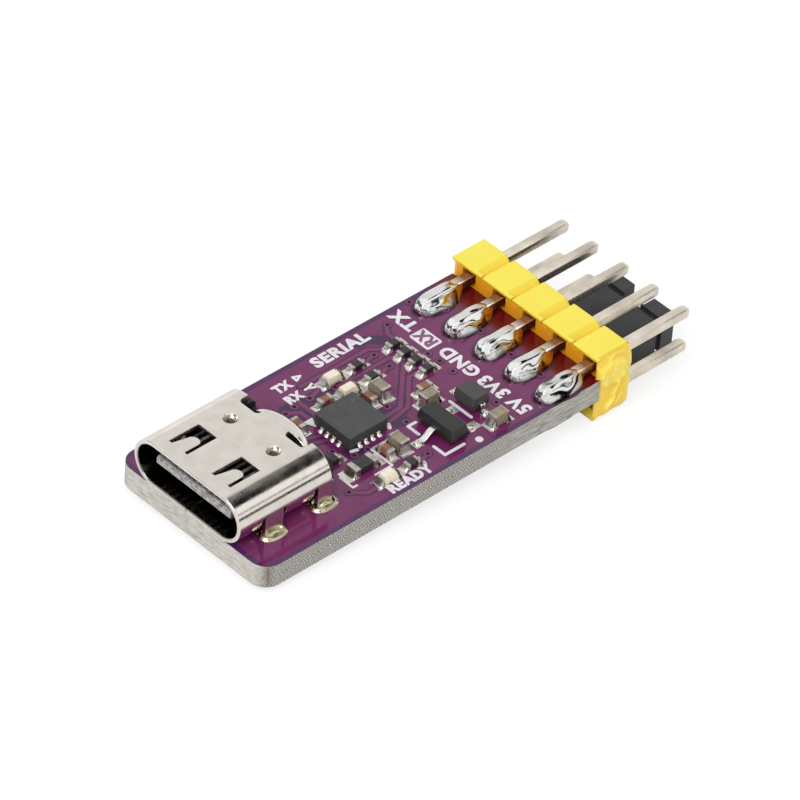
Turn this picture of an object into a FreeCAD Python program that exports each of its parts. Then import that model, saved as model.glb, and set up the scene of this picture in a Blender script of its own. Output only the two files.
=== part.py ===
import FreeCAD, Part
import math
import os

Vector = FreeCAD.Vector

# A USB-C to serial adapter board with a straddling double-row pin header.
# Sizes are in millimetres. X runs along the board from the socket to the header,
# Y across it and Z up. Shapes are built with X = 0 at the board's header end,
# Y = 0 on its centre line and Z = 0 at the middle of its thickness, and the whole
# part is set down on Z = 0 as it is written out.

# Board
board_length = 26.2
board_width = 12.5
board_thickness = 1.55
corner_radius = 1.15
board_top = board_thickness / 2
board_socket_end = -board_length
leg_slot_clearance = 0.12

# USB-C socket
shell_width = 8.94
shell_height = 3.16
shell_wall = 0.28
shell_length = 7.0
shell_overhang = 0.07
shell_offset = 0.33
rim_round = 0.08
seam_gap = 0.06
latch_length = 2.27
latch_width = 1.55
latch_root_gap = 0.24
latch_tip_gap = 0.36
latch_end_gap = 0.7
latch_setback = 0.88
latch_spacing = 3.62
latch_drop = 0.2
dimple_radius = 0.45
dimple_depth = 0.3
dimple_from_rear = 2.15
rear_notch_width = 1.58
rear_notch_depth = 0.75
rear_notch_spacing = 3.8
rear_notch_round = 0.3
rear_lip_reach = 0.3
rear_lip_drop = 0.62
rear_lip_bend = 0.45
rear_lip_corner = 0.75
leg_width_front = 1.35
leg_width_rear = 1.1
leg_pitch = 3.88
front_leg_setback = 2.0
leg_gap = 0.25
leg_depth = 1.3
insulator_length = 2.9
insulator_tail = 0.65
insulator_tail_height = 2.5
insulator_tail_inset = 0.62
insulator_tail_bevel = 0.2
insulator_relief_depth = 0.9
tongue_width = 6.2
tongue_thickness = 0.6
tongue_setback = 0.5
mid_plate_thickness = 0.12
mid_plate_proud = 0.12
mid_plate_notch = 0.3
mid_plate_notch_setback = 2.2
contact_count = 12
contact_pitch = 0.5
contact_width = 0.26
contact_thickness = 0.05
contact_setback = 0.25
contact_tail_reach = 0.75
contact_tail_thickness = 0.12

# Pin header
pin_count = 5
pin_pitch = 2.54
row_spacing = 2.54
pin_side = 0.64
pin_tip_length = 0.45
pin_tip_side = 0.4
pin_front_reach = 5.5
pin_tail_reach = 3.6
header_offset = -0.185
housing_height = 4.54
housing_depth = 2.45
housing_lip = 0.27
lip_height = 0.5
lip_edge = 0.12
cell_slope_width = 0.6
cell_slope_height = 0.66
cell_gap = 0.1
cell_end_bevel = 0.16
pocket_width = 1.1
pocket_depth = 0.8
cut_end_shortfall = 0.36
cut_end_steps = [0.0, 0.12, 0.03, 0.14, 0.06, 0.12]

# Solder
joint_front_reach = 0.55
joint_front_margin = 0.5
joint_width = 1.75
joint_cover = 0.06
# Half of the joint's outline: share of its half width, share of its height
joint_flank = [(1, 0), (0.8, 0.2), (0.62, 0.5), (0.46, 0.86), (0.34, 1)]
# Along the tail: share of the length, of the width and of the height
joint_sections = [
    (0, 0.62, 0.12), (0.06, 0.86, 0.62), (0.16, 1, 0.95), (0.5, 1, 1), (0.82, 0.9, 0.93), (1, 0.62, 0.5),
]
leg_joint_margin = 0.33
leg_joint_height = 0.28
leg_joint_sides = 6
fillet_reach = 0.28
fillet_height_share = 0.6
fillet_hollow = 0.38

# Jumper cap
jumper_length = 5.85
jumper_width = 5.04
jumper_height = 2.5
jumper_gap = 0.05
jumper_wall = 0.42
jumper_floor = 0.35
jumper_clearance = 0.06
jumper_notch_width = 1.64
jumper_notch_depth = 1.25
jumper_notch_arc = 0.41
jumper_groove_from_end = 1.0
jumper_groove_width = 0.42
jumper_groove_depth = 0.22
jumper_edge = 0.12
first_jumped_pin = 3
clip_thickness = 0.22
clip_length = 3.4
clip_pin_clearance = 0.03
clip_recess = 0.5

# Small parts: length along their terminals, width and height
small_capacitor = (1.0, 0.5, 0.5)
large_capacitor = (1.12, 0.72, 0.78)
resistor_size = (1.0, 0.5, 0.35)
led_size = (1.3, 0.7, 0.52)
fuse_size = (1.8, 0.86, 0.5)
terminal_share = 0.22
terminal_proud = 0.02
part_edge = 0.05
part_lift = 0.03
led_dome_share = 0.6
led_dome_taper = 0.08

small_capacitor_places = [
    (-13.85, 2.25, "x"), (-11.65, 0.9, "y"), (-16.45, 1.7, "y"), (-8.6, -0.5, "x"), (-14.0, -3.1, "y"),
]
large_capacitor_places = [
    (-10.75, 0.95, "y"), (-9.1, -1.4, "x"), (-13.1, -3.15, "y"), (-7.15, -5.15, "x"),
]
resistor_places = [
    (-10.25, 3.5, "x"), (-10.2, 2.2, "x"), (-7.25, 3.55, "x"), (-7.25, 2.6, "x"),
    (-7.25, 1.65, "x"), (-7.25, 0.7, "x"), (-13.6, -4.8, "x"), (-16.95, -1.8, "x"),
]
led_places = {"transmit_led": (-12.15, 3.55), "receive_led": (-12.15, 2.15), "ready_led": (-15.5, -4.85)}
fuse_place = (-15.95, -3.2)

# Serial interface chip
chip_place = (-14.0, -0.1)
chip_side = 3.0
chip_height = 0.83
chip_lift = 0.02
chip_edge = 0.06
chip_pads_per_side = 4
chip_pad_pitch = 0.5
chip_pad_width = 0.24
chip_pad_length = 0.4
chip_pad_proud = 0.06
chip_pad_height = 0.22

# Regulator and diode
regulator_place = (-10.15, -3.65)
regulator_body = (1.3, 2.9, 0.95)
regulator_lead_width = 0.42
regulator_lead_pitch = 1.9
regulator_lead_reach = 0.8
regulator_single_reach = 1.3
diode_place = (-7.2, -2.95)
diode_body = (1.25, 1.7, 0.9)
diode_lead_width = 0.35
diode_lead_reach = 0.45
body_draft = 0.09
body_lift = 0.1
lead_thickness = 0.13
lead_root = 0.15
lead_foot = 0.3
lead_exit_share = 0.45
lead_shoulder_share = 0.35

# Distance within which two places count as one
small = 0.001

# Places worked out from the sizes above
shell_front = board_socket_end - shell_overhang
shell_rear = shell_front + shell_length
shell_bottom = board_top
shell_middle = shell_bottom + shell_height / 2
shell_top = shell_bottom + shell_height
leg_outer = shell_width / 2
front_leg_x = shell_front + front_leg_setback + leg_width_front / 2
rear_leg_x = front_leg_x + leg_pitch
leg_places = [(front_leg_x, leg_width_front), (rear_leg_x, leg_width_rear)]
insulator_rear = shell_rear + insulator_tail
insulator_front = insulator_rear - insulator_length
tongue_front = shell_front + tongue_setback
housing_back = -housing_lip
housing_front = housing_depth
pin_front = housing_front + pin_front_reach
pin_tail = -pin_tail_reach
row_heights = {"top": row_spacing / 2, "bottom": -row_spacing / 2}
jumper_back = housing_front + jumper_gap
jumper_front = jumper_back + jumper_length
jumper_middle_z = row_heights["bottom"]


def pin_y(number):
    return header_offset + pin_pitch * ((pin_count + 1) / 2 - number)


jumper_y = (pin_y(first_jumped_pin) + pin_y(first_jumped_pin + 1)) / 2
origin_x = (shell_front + jumper_front) / 2
origin_z = min(-housing_height / 2, jumper_middle_z - jumper_height / 2)
insulator_tail_width = shell_width - 2 * insulator_tail_inset
rear_lip_width = rear_notch_spacing - rear_notch_width


def block(x_range, y_range, z_range):
    size = [high - low for low, high in (x_range, y_range, z_range)]
    return Part.makeBox(*size, Vector(x_range[0], y_range[0], z_range[0]))


def around(middle, size):
    return (middle - size / 2, middle + size / 2)


def polygon_face(points):
    wire = Part.makePolygon(points + [points[0]])
    return Part.Face(wire)


def joined(shapes):
    result = shapes[0].multiFuse(shapes[1:]) if len(shapes) > 1 else shapes[0]
    return result.removeSplitter()


def softened(shape, radius, wanted):
    edges = [edge for edge in shape.Edges if wanted(edge)]
    return shape.makeFillet(radius, edges)


def bevelled(shape, size, wanted):
    edges = [edge for edge in shape.Edges if wanted(edge)]
    return shape.makeChamfer(size, edges)


def runs_along(edge, axis):
    if edge.Curve.TypeId != "Part::GeomLine":
        return False
    return abs(abs(edge.tangentAt(edge.FirstParameter).dot(axis)) - 1) < small


axis_x = Vector(1, 0, 0)
axis_y = Vector(0, 1, 0)
axis_z = Vector(0, 0, 1)


# Stadium outline, a rectangle with full-round ends, standing across X
def stadium_wire(x, y_middle, z_middle, width, height):
    radius = height / 2
    flat = width / 2 - radius
    left, right = y_middle - flat, y_middle + flat
    top, bottom = z_middle + radius, z_middle - radius
    edges = [
        Part.LineSegment(Vector(x, left, bottom), Vector(x, right, bottom)).toShape(),
        Part.Arc(Vector(x, right, bottom), Vector(x, right + radius, z_middle),
                 Vector(x, right, top)).toShape(),
        Part.LineSegment(Vector(x, right, top), Vector(x, left, top)).toShape(),
        Part.Arc(Vector(x, left, top), Vector(x, left - radius, z_middle), Vector(x, left, bottom)).toShape(),
    ]
    return Part.Wire(edges)


def stadium_bar(x_start, length, width, height):
    wire = stadium_wire(x_start, shell_offset, shell_middle, width, height)
    return Part.Face(wire).extrude(Vector(length, 0, 0))


# The same outline lying flat, drawn in to a smaller one above it
def flat_stadium(x, y, z, length, width):
    radius = width / 2
    flat = length / 2 - radius
    corners = [Vector(x - flat, y - radius, z), Vector(x + flat, y - radius, z),
               Vector(x + flat, y + radius, z), Vector(x - flat, y + radius, z)]
    return Part.Wire([
        Part.LineSegment(corners[0], corners[1]).toShape(),
        Part.Arc(corners[1], Vector(x + flat + radius, y, z), corners[2]).toShape(),
        Part.LineSegment(corners[2], corners[3]).toShape(),
        Part.Arc(corners[3], Vector(x - flat - radius, y, z), corners[0]).toShape(),
    ])


def make_circuit_board():
    board = block((board_socket_end, 0), around(0, board_width), around(0, board_thickness))
    at_socket = lambda edge: runs_along(edge, axis_z) and edge.CenterOfMass.x < board_socket_end + small
    board = softened(board, corner_radius, at_socket)
    holes = []
    for x, width in leg_places:
        for y in leg_middles():
            slot = flat_stadium(x, y, -board_top, width + 2 * leg_slot_clearance + shell_wall,
                                shell_wall + 2 * leg_slot_clearance)
            holes.append(Part.Face(slot).extrude(Vector(0, 0, board_thickness)))
    return board.cut(Part.makeCompound(holes))


def leg_middles():
    reach = leg_outer - shell_wall / 2
    return (shell_offset - reach, shell_offset + reach)


# One latch finger: a window through the roof, and a strip that dips into the socket
def latch_cuts():
    start = shell_front + latch_setback
    return [block((start, start + latch_length), around(shell_offset + side * latch_spacing / 2, latch_width),
                  (shell_top - shell_wall, shell_top)) for side in (-1, 1)]


def latch_fingers():
    start = shell_front + latch_setback
    reach = latch_length - latch_end_gap
    root = latch_width / 2 - latch_root_gap
    tip = latch_width / 2 - latch_tip_gap
    fingers = []
    for side in (-1, 1):
        middle = shell_offset + side * latch_spacing / 2
        low = shell_top - latch_drop - shell_wall
        round_start = start + reach - tip
        corners = [Vector(start, middle + root, low), Vector(start, middle - root, low),
                   Vector(round_start, middle - tip, low), Vector(round_start, middle + tip, low)]
        outline = Part.Wire([
            Part.LineSegment(corners[0], corners[1]).toShape(),
            Part.LineSegment(corners[1], corners[2]).toShape(),
            Part.Arc(corners[2], Vector(start + reach, middle, low), corners[3]).toShape(),
            Part.LineSegment(corners[3], corners[0]).toShape(),
        ])
        column = Part.Face(outline).extrude(Vector(0, 0, latch_drop + shell_wall))
        slope = polygon_face([
            Vector(start, middle - root, shell_top),
            Vector(start + reach, middle - root, shell_top - latch_drop),
            Vector(start + reach, middle - root, shell_top - latch_drop - shell_wall),
            Vector(start, middle - root, shell_top - shell_wall),
        ])
        fingers.append(column.common(slope.extrude(Vector(0, 2 * root, 0))))
    return fingers


# Middle of the rear edge: the roof reaches back and turns down in a quarter bend
def make_rear_lip():
    end = shell_rear + rear_lip_reach
    bend_x, bend_z = end - rear_lip_bend, shell_top - rear_lip_bend
    inner = rear_lip_bend - shell_wall
    y = shell_offset - rear_lip_width / 2
    diagonal = math.sqrt(0.5)

    def line(a, b):
        return Part.LineSegment(Vector(a[0], y, a[1]), Vector(b[0], y, b[1])).toShape()

    def bend(radius, first, last):
        return Part.Arc(Vector(first[0], y, first[1]),
                        Vector(bend_x + radius * diagonal, y, bend_z + radius * diagonal),
                        Vector(last[0], y, last[1])).toShape()

    back = shell_rear - rear_notch_depth
    low = shell_top - rear_lip_drop
    outline = Part.Wire([
        line((back, shell_top), (bend_x, shell_top)),
        bend(rear_lip_bend, (bend_x, shell_top), (end, bend_z)),
        line((end, bend_z), (end, low)),
        line((end, low), (end - shell_wall, low)),
        line((end - shell_wall, low), (end - shell_wall, bend_z)),
        bend(inner, (end - shell_wall, bend_z), (bend_x, shell_top - shell_wall)),
        line((bend_x, shell_top - shell_wall), (back, shell_top - shell_wall)),
        line((back, shell_top - shell_wall), (back, shell_top)),
    ])
    strip = Part.Face(outline).extrude(Vector(0, rear_lip_width, 0))
    # Seen from above its two outer corners are round
    column = block((back, end), around(shell_offset, rear_lip_width), (low, shell_top))
    outer = lambda edge: runs_along(edge, axis_z) and edge.CenterOfMass.x > end - small
    column = softened(column, rear_lip_corner, outer)
    return strip.common(column)


# Rear edge of the roof: two notches with rounded inner corners, down to the given height
def rear_cuts(low, end=shell_rear):
    cuts = []
    for side in (-1, 1):
        middle = shell_offset + side * rear_notch_spacing / 2
        x_range = (shell_rear - rear_notch_depth, end)
        notch = block(x_range, around(middle, rear_notch_width), (low, shell_top))
        inner = lambda edge: runs_along(edge, axis_z) and edge.CenterOfMass.x < shell_rear - small
        cuts.append(softened(notch, rear_notch_round, inner))
    return cuts


# Side legs hang straight down from the widest line of the shell
def leg_plates():
    plates = []
    for x, width in leg_places:
        for y in leg_middles():
            z_range = (board_top - leg_depth, shell_middle)
            plates.append(block(around(x, width), around(y, shell_wall), z_range))
    return plates


def leg_windows():
    windows = []
    for x, width in leg_places:
        for side in (-1, 1):
            inner = shell_offset + side * (leg_outer - shell_height / 2)
            outer = shell_offset + side * (leg_outer + shell_wall)
            y_range = (min(inner, outer), max(inner, outer))
            windows.append(block(around(x, width + 2 * leg_gap), y_range, (shell_bottom, shell_middle)))
    return windows


def dimple_shapes():
    # A ball that meets the roof in a circle of the dimple's radius
    ball = (dimple_radius ** 2 + dimple_depth ** 2) / (2 * dimple_depth)
    x = shell_rear - dimple_from_rear
    bumps = []
    dents = []
    for side in (-1, 1):
        middle = shell_offset + side * latch_spacing / 2
        centre = Vector(x, middle, shell_top - dimple_depth + ball)
        dents.append(Part.makeSphere(ball, centre, axis_z, -90, 0, 360))
        low = Vector(x, middle, shell_top - shell_wall - dimple_depth)
        bumps.append(Part.makeCylinder(dimple_radius, dimple_depth, low))
    return bumps, dents


def make_usb_shell():
    inner_width = shell_width - 2 * shell_wall
    inner_height = shell_height - 2 * shell_wall
    outer = stadium_bar(shell_front, shell_length, shell_width, shell_height)
    inner = stadium_bar(shell_front, shell_length, inner_width, inner_height)
    tube = outer.cut(inner)
    rim = [edge for edge in tube.Edges if edge.BoundBox.XMax < shell_front + small]
    tube = tube.makeFillet(rim_round, rim)
    seam = block((shell_front, shell_rear), around(shell_offset, seam_gap),
                 (shell_bottom, shell_bottom + shell_wall))
    bumps, dents = dimple_shapes()
    tube = tube.cut(Part.makeCompound(latch_cuts() + rear_cuts(shell_middle) + leg_windows() + [seam]))
    shell = joined([tube, make_rear_lip()] + latch_fingers() + leg_plates() + bumps)
    return shell.cut(Part.makeCompound(dents))


# Moulded block that fills the back of the shell and steps down to the board behind it
def make_usb_insulator():
    inner_width = shell_width - 2 * shell_wall
    inner_height = shell_height - 2 * shell_wall
    core = stadium_bar(insulator_front, shell_rear - insulator_front, inner_width, inner_height)
    tail_range = (shell_rear, insulator_rear)
    tail = block(tail_range, around(shell_offset, insulator_tail_width),
                 (board_top, board_top + insulator_tail_height))
    above = lambda edge: edge.CenterOfMass.x > insulator_rear - small and edge.CenterOfMass.z > shell_middle
    tail = bevelled(tail, insulator_tail_bevel, lambda edge: runs_along(edge, axis_y) and above(edge))
    bumps, dents = dimple_shapes()
    # The moulding is open under the roof's two notches
    reliefs = rear_cuts(shell_top - shell_wall - insulator_relief_depth, insulator_rear)
    return joined([core, tail]).cut(Part.makeCompound(bumps + reliefs + [make_rear_lip()]))


def tongue_bar(x_range, width, thickness):
    return block(x_range, around(shell_offset, width), around(shell_middle, thickness))


def make_usb_tongue():
    bar = tongue_bar((tongue_front, insulator_front), tongue_width, tongue_thickness)
    front_edges = lambda edge: edge.CenterOfMass.x < tongue_front + small
    bar = bevelled(bar, mid_plate_proud, lambda edge: front_edges(edge) and runs_along(edge, axis_y))
    return bar.cut(make_usb_mid_plate())


# Steel plate inside the tongue that shows along its sides, with the two latch notches
def make_usb_mid_plate():
    plate = tongue_bar((tongue_front + contact_setback, insulator_front),
                       tongue_width + 2 * mid_plate_proud, mid_plate_thickness)
    outer = tongue_width / 2 + mid_plate_proud
    notches = []
    for side in (-1, 1):
        middle = shell_offset + side * outer
        low = Vector(tongue_front + mid_plate_notch_setback, middle, shell_middle - mid_plate_thickness / 2)
        notches.append(Part.makeCylinder(mid_plate_notch, mid_plate_thickness, low))
    return plate.cut(Part.makeCompound(notches))


# Contact strips on both faces of the tongue, and their tails on the board behind
def make_usb_contacts():
    strips = []
    for index in range(contact_count):
        y = shell_offset + contact_pitch * (index - (contact_count - 1) / 2)
        y_range = around(y, contact_width)
        x_range = (tongue_front + contact_setback, insulator_front)
        for low in (shell_middle + tongue_thickness / 2,
                    shell_middle - tongue_thickness / 2 - contact_thickness):
            strips.append(block(x_range, y_range, (low, low + contact_thickness)))
        strips.append(block((insulator_rear, insulator_rear + contact_tail_reach), y_range,
                            (board_top, board_top + contact_tail_thickness)))
    return Part.makeCompound(strips)


# One cell of the header. Its top slopes down towards -Y and its underside up towards +Y,
# so that the groove between two cells is steep on one side and sloping on the other.
def header_cell(number):
    y = pin_y(number)
    half = housing_height / 2
    side = pin_pitch / 2 - cell_gap / 2
    points = [(side, half), (-side + cell_slope_width, half), (-side, half - cell_slope_height),
              (-side, -half), (side - cell_slope_width, -half), (side, -half + cell_slope_height)]
    outline = polygon_face([Vector(0, y + dy, z) for dy, z in points])
    cell = outline.extrude(Vector(housing_front, 0, 0))
    outer = lambda edge: edge.CenterOfMass.x > housing_front - small
    cell = bevelled(cell, cell_end_bevel, outer)
    return joined([cell] + [header_lip(y, side, sign) for sign in (-1, 1)])


# Wedge that reaches over the board's end, thin at its edge
def header_lip(y, side, sign):
    half = sign * housing_height / 2
    profile = polygon_face([Vector(0, y - side, half), Vector(housing_back, y - side, half),
                            Vector(housing_back, y - side, half - sign * lip_edge),
                            Vector(0, y - side, half - sign * lip_height)])
    return profile.extrude(Vector(0, 2 * side, 0))


# Pockets round the pin tails, open towards the board
def header_pockets():
    pockets = []
    for number in range(1, pin_count + 1):
        for z in row_heights.values():
            outer = math.copysign(housing_height / 2 - lip_height, z)
            inner = math.copysign(board_top, z)
            pockets.append(block((0, pocket_depth), around(pin_y(number), pocket_width),
                                 (min(outer, inner), max(outer, inner))))
    return pockets


def pin_blank(number, row):
    section = around(0, pin_side)
    y, z = pin_y(number), row_heights[row]
    return block((pin_tail, pin_front - pin_tip_length), (y + section[0], y + section[1]),
                 (z + section[0], z + section[1]))


def make_header_housing():
    cells = [header_cell(number) for number in range(1, pin_count + 1)]
    web = block((0, housing_front - cell_end_bevel), (pin_y(pin_count), pin_y(1)),
                around(0, housing_height - 2 * cell_slope_height))
    housing = joined(cells + [web])
    pins = [pin_blank(number, row) for number in range(1, pin_count + 1) for row in row_heights]
    housing = housing.cut(Part.makeCompound(header_pockets() + pins))
    return housing.cut(snapped_off())


# The last cell was snapped off a longer strip, a little short and ragged
def snapped_off():
    end = pin_y(pin_count) - pin_pitch / 2
    outside = end - pin_pitch
    step = (housing_front - housing_back) / (len(cut_end_steps) - 1)
    outline = [Vector(housing_back + index * step, end + cut_end_shortfall + reach, -housing_height)
               for index, reach in enumerate(cut_end_steps)]
    outline += [Vector(x, outside, -housing_height) for x in (housing_front, housing_back)]
    return polygon_face(outline).extrude(Vector(0, 0, 2 * housing_height))


# Square outline across X
def square_across(x, y, z, side):
    half = side / 2
    return [Vector(x, y - half, z - half), Vector(x, y + half, z - half),
            Vector(x, y + half, z + half), Vector(x, y - half, z + half)]


# Solid between two outlines with as many corners each, and flat sides
def tapered_solid(first, last):
    faces = [polygon_face(first), polygon_face(last)]
    for index in range(len(first)):
        after = (index + 1) % len(first)
        faces.append(polygon_face([first[index], first[after], last[after], last[index]]))
    solid = Part.Solid(Part.Shell(faces))
    if solid.Volume < 0:
        solid.reverse()
    return solid


def make_pin(number, row):
    y, z = pin_y(number), row_heights[row]
    tip = tapered_solid(square_across(pin_front - pin_tip_length, y, z, pin_side),
                        square_across(pin_front, y, z, pin_tip_side))
    return joined([pin_blank(number, row), tip])


# Solder along a pin's tail: flat over the pin, hollow flanks down to the pad, round at the tail's end
def pin_joint(number, row):
    sign = 1 if row == "top" else -1
    y = pin_y(number)
    crown = row_spacing / 2 + pin_side / 2 + joint_cover - board_top
    start = pin_tail - joint_front_reach
    end = -joint_front_margin
    sections = []
    for share, width, height in joint_sections:
        x = start + share * (end - start)
        half = joint_width / 2 * width
        right = [(half * across, crown * height * up) for across, up in joint_flank]
        left = [(-across, up) for across, up in reversed(right)]
        corners = [Vector(x, y + across, sign * (board_top + up)) for across, up in right + left]
        sections.append(Part.makePolygon(corners + [corners[0]]))
    mound = Part.makeLoft(sections, True, True)
    return mound.cut(make_pin(number, row))


def make_pin_solder(row):
    return Part.makeCompound([pin_joint(number, row) for number in range(1, pin_count + 1)])


# Corners of a lying stadium whose round ends have a few flat sides each
def oval_outline(x, y, z, length, width):
    radius = width / 2
    corners = []
    for side, start in ((1, -90), (-1, 90)):
        for step in range(leg_joint_sides + 1):
            turn = math.radians(start + 180 * step / leg_joint_sides)
            corners.append(Vector(x + side * (length / 2 - radius) + radius * math.cos(turn),
                                  y + radius * math.sin(turn), z))
    return corners


# Solder collars round the shell's legs, above and below the board, and the fill in each slot
def make_shell_solder():
    collars = []
    plates = Part.makeCompound(leg_plates())
    for x, width in leg_places:
        for y in leg_middles():
            length = width + shell_wall + 2 * leg_joint_margin
            breadth = shell_wall + 2 * leg_joint_margin
            inner_length = width + shell_wall + 2 * leg_slot_clearance
            inner_breadth = shell_wall + 2 * leg_slot_clearance
            fill = Part.Face(flat_stadium(x, y, -board_top, inner_length, inner_breadth))
            pieces = [fill.extrude(Vector(0, 0, board_thickness))]
            for sign in (-1, 1):
                foot = oval_outline(x, y, sign * board_top, length, breadth)
                crown = oval_outline(x, y, sign * (board_top + leg_joint_height), inner_length, inner_breadth)
                pieces.append(tapered_solid(foot, crown))
            collars.append(joined(pieces).cut(plates))
    return Part.makeCompound(collars)


# A two-terminal chip part, one solid, with its terminals a little proud of the body
def chip_part(place, size):
    x, y, direction = place
    length, width, height = size
    base = board_top + part_lift
    terminal = length * terminal_share
    body = block(around(0, length - terminal), around(0, width - 2 * terminal_proud),
                 (base + terminal_proud, base + height - terminal_proud))
    ends = []
    for side in (-1, 1):
        middle = side * (length - terminal) / 2
        cap = block(around(middle, terminal), around(0, width), (base, base + height))
        outer = lambda edge: abs(edge.CenterOfMass.x) > length / 2 - small
        ends.append(bevelled(cap, part_edge, outer))
    shape = joined([body] + ends)
    return settled(shape, x, y, direction)


def settled(shape, x, y, direction):
    if direction == "y":
        shape.rotate(Vector(0, 0, 0), axis_z, 90)
    shape.translate(Vector(x, y, 0))
    return shape


def flat_outline(x, y, z, length, width):
    half_x, half_y = length / 2, width / 2
    return [Vector(x - half_x, y - half_y, z), Vector(x + half_x, y - half_y, z),
            Vector(x + half_x, y + half_y, z), Vector(x - half_x, y + half_y, z)]


# An LED: a base with end terminals and a pale lens drawn in towards its top
def make_led(place):
    x, y = place
    length, width, height = led_size
    base_height = height * (1 - led_dome_share)
    base = chip_part((0, 0, "x"), (length, width, base_height))
    bottom = board_top + part_lift + base_height

    lens_length = length * (1 - terminal_share)
    top = bottom + height * led_dome_share
    inset = 2 * led_dome_taper
    lens = tapered_solid(flat_outline(0, 0, bottom, lens_length, width),
                         flat_outline(0, 0, top, lens_length - inset, width - inset))
    return settled(joined([base, lens]), x, y, "x")


# Wedges of solder from each terminal down to its pad
def fillet_wedges(place, size):
    x, y, direction = place
    length, width, height = size
    rise = height * fillet_height_share
    wedges = []
    for side in (-1, 1):
        face = length / 2 * side
        edge = -width / 2
        hollow = Vector(face + side * fillet_reach * fillet_hollow, edge, board_top + rise * fillet_hollow)
        toe = Vector(face + side * fillet_reach, edge, board_top)
        heel, crest = Vector(face, edge, board_top), Vector(face, edge, board_top + rise)
        profile = polygon_face([heel, toe, hollow, crest])
        wedges.append(settled(profile.extrude(Vector(0, width, 0)), x, y, direction))
        under = block(around(side * (length - length * terminal_share) / 2, length * terminal_share),
                      around(0, width), (board_top, board_top + part_lift))
        wedges.append(settled(under, x, y, direction))
    return wedges


def make_chip_solder():
    wedges = []
    groups = [(small_capacitor_places, small_capacitor), (large_capacitor_places, large_capacitor),
              (resistor_places, resistor_size),
              ([place + ("x",) for place in led_places.values()],
               (led_size[0], led_size[1], led_size[2] * (1 - led_dome_share))),
              ([fuse_place + ("x",)], fuse_size)]
    for places, size in groups:
        for place in places:
            wedges += fillet_wedges(place, size)
    return Part.makeCompound(wedges)


def make_serial_chip():
    x, y = chip_place
    base = board_top + chip_lift
    body = block(around(x, chip_side), around(y, chip_side), (base, base + chip_height))
    body = bevelled(body, chip_edge, lambda edge: runs_along(edge, axis_z))
    return body.cut(make_serial_chip_pads())


# Leads in the chip's lower edge, four to a side, each with its bead of solder
def make_serial_chip_pads():
    x, y = chip_place
    pads = []
    for turn in range(4):
        for index in range(chip_pads_per_side):
            along = chip_pad_pitch * (index - (chip_pads_per_side - 1) / 2)
            outer = chip_side / 2 + chip_pad_proud
            pad = block((outer - chip_pad_length, outer), around(along, chip_pad_width),
                        (board_top, board_top + chip_pad_height))
            pad = bevelled(pad, chip_pad_proud, lambda edge: runs_along(edge, axis_y)
                           and edge.CenterOfMass.x > outer - small
                           and edge.CenterOfMass.z > board_top + chip_pad_height - small)
            pad.rotate(Vector(0, 0, 0), axis_z, 90 * turn)
            pad.translate(Vector(x, y, 0))
            pads.append(pad)
    return Part.makeCompound(pads)


# Moulded body with drafted sides that meet at the height where the leads come out
def drafted_body(place, size):
    x, y = place
    length, width, height = size
    base = board_top + body_lift
    parting = base + height * lead_exit_share

    widest = flat_outline(x, y, parting, length, width)
    lowest, highest = [flat_outline(x, y, z, length - 2 * body_draft, width - 2 * body_draft)
                       for z in (base, base + height)]
    return joined([tapered_solid(lowest, widest), tapered_solid(widest, highest)])


# A lead that leaves the body level, bends down and ends in a flat foot on its pad.
# It is drawn in the XZ plane heading for +X, then turned to its side.
def gull_lead(start, reach, width, height):
    thick = lead_thickness
    exit_height = body_lift + height * lead_exit_share
    shoulder = start + (reach - lead_foot) * lead_shoulder_share
    heel = start + reach - lead_foot
    toe = start + reach
    centre_z = board_top + exit_height
    root = start - lead_root
    upper = [(root, centre_z + thick / 2), (shoulder, centre_z + thick / 2),
             (heel + thick, board_top + thick), (toe, board_top + thick)]
    lower = [(toe, board_top), (heel, board_top), (shoulder - thick / 2, centre_z - thick / 2),
             (root, centre_z - thick / 2)]
    profile = polygon_face([Vector(x, -width / 2, z) for x, z in upper + lower])
    return profile.extrude(Vector(0, width, 0))


def make_regulator_leads():
    x, y = regulator_place
    leads = []
    pair = regulator_lead_pitch / 2
    for turn, along, reach in ((180, 0, regulator_single_reach), (0, pair, regulator_lead_reach),
                               (0, -pair, regulator_lead_reach)):
        lead = gull_lead(regulator_body[0] / 2, reach, regulator_lead_width, regulator_body[2])
        lead.rotate(Vector(0, 0, 0), axis_z, turn)
        lead.translate(Vector(x, y + along, 0))
        leads.append(lead)
    return Part.makeCompound(leads)


def make_diode_leads():
    x, y = diode_place
    leads = []
    for turn in (90, -90):
        lead = gull_lead(diode_body[1] / 2, diode_lead_reach, diode_lead_width, diode_body[2])
        lead.rotate(Vector(0, 0, 0), axis_z, turn)
        lead.translate(Vector(x, y, 0))
        leads.append(lead)
    return Part.makeCompound(leads)


# Pushed-on cap that bridges two pins: a sleeve with a groove near its outer end
# and a rounded notch between the two outer lugs
def make_jumper_cap():
    y_range = around(jumper_y, jumper_width)
    z_range = around(jumper_middle_z, jumper_height)
    cap = block((jumper_back, jumper_front), y_range, z_range)
    cap = bevelled(cap, jumper_edge, lambda edge: runs_along(edge, axis_x))
    groove_end = jumper_front - jumper_groove_from_end
    groove_start = groove_end - jumper_groove_width
    depth = jumper_groove_depth
    x_range = (groove_start, groove_end)
    outer = block(x_range, around(jumper_y, jumper_width), around(jumper_middle_z, jumper_height))
    core = block(x_range, around(jumper_y, jumper_width - 2 * depth),
                 around(jumper_middle_z, jumper_height - 2 * depth))
    groove = outer.cut(core)
    return cap.cut(Part.makeCompound([groove, jumper_notch()] + jumper_bores()))


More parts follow.
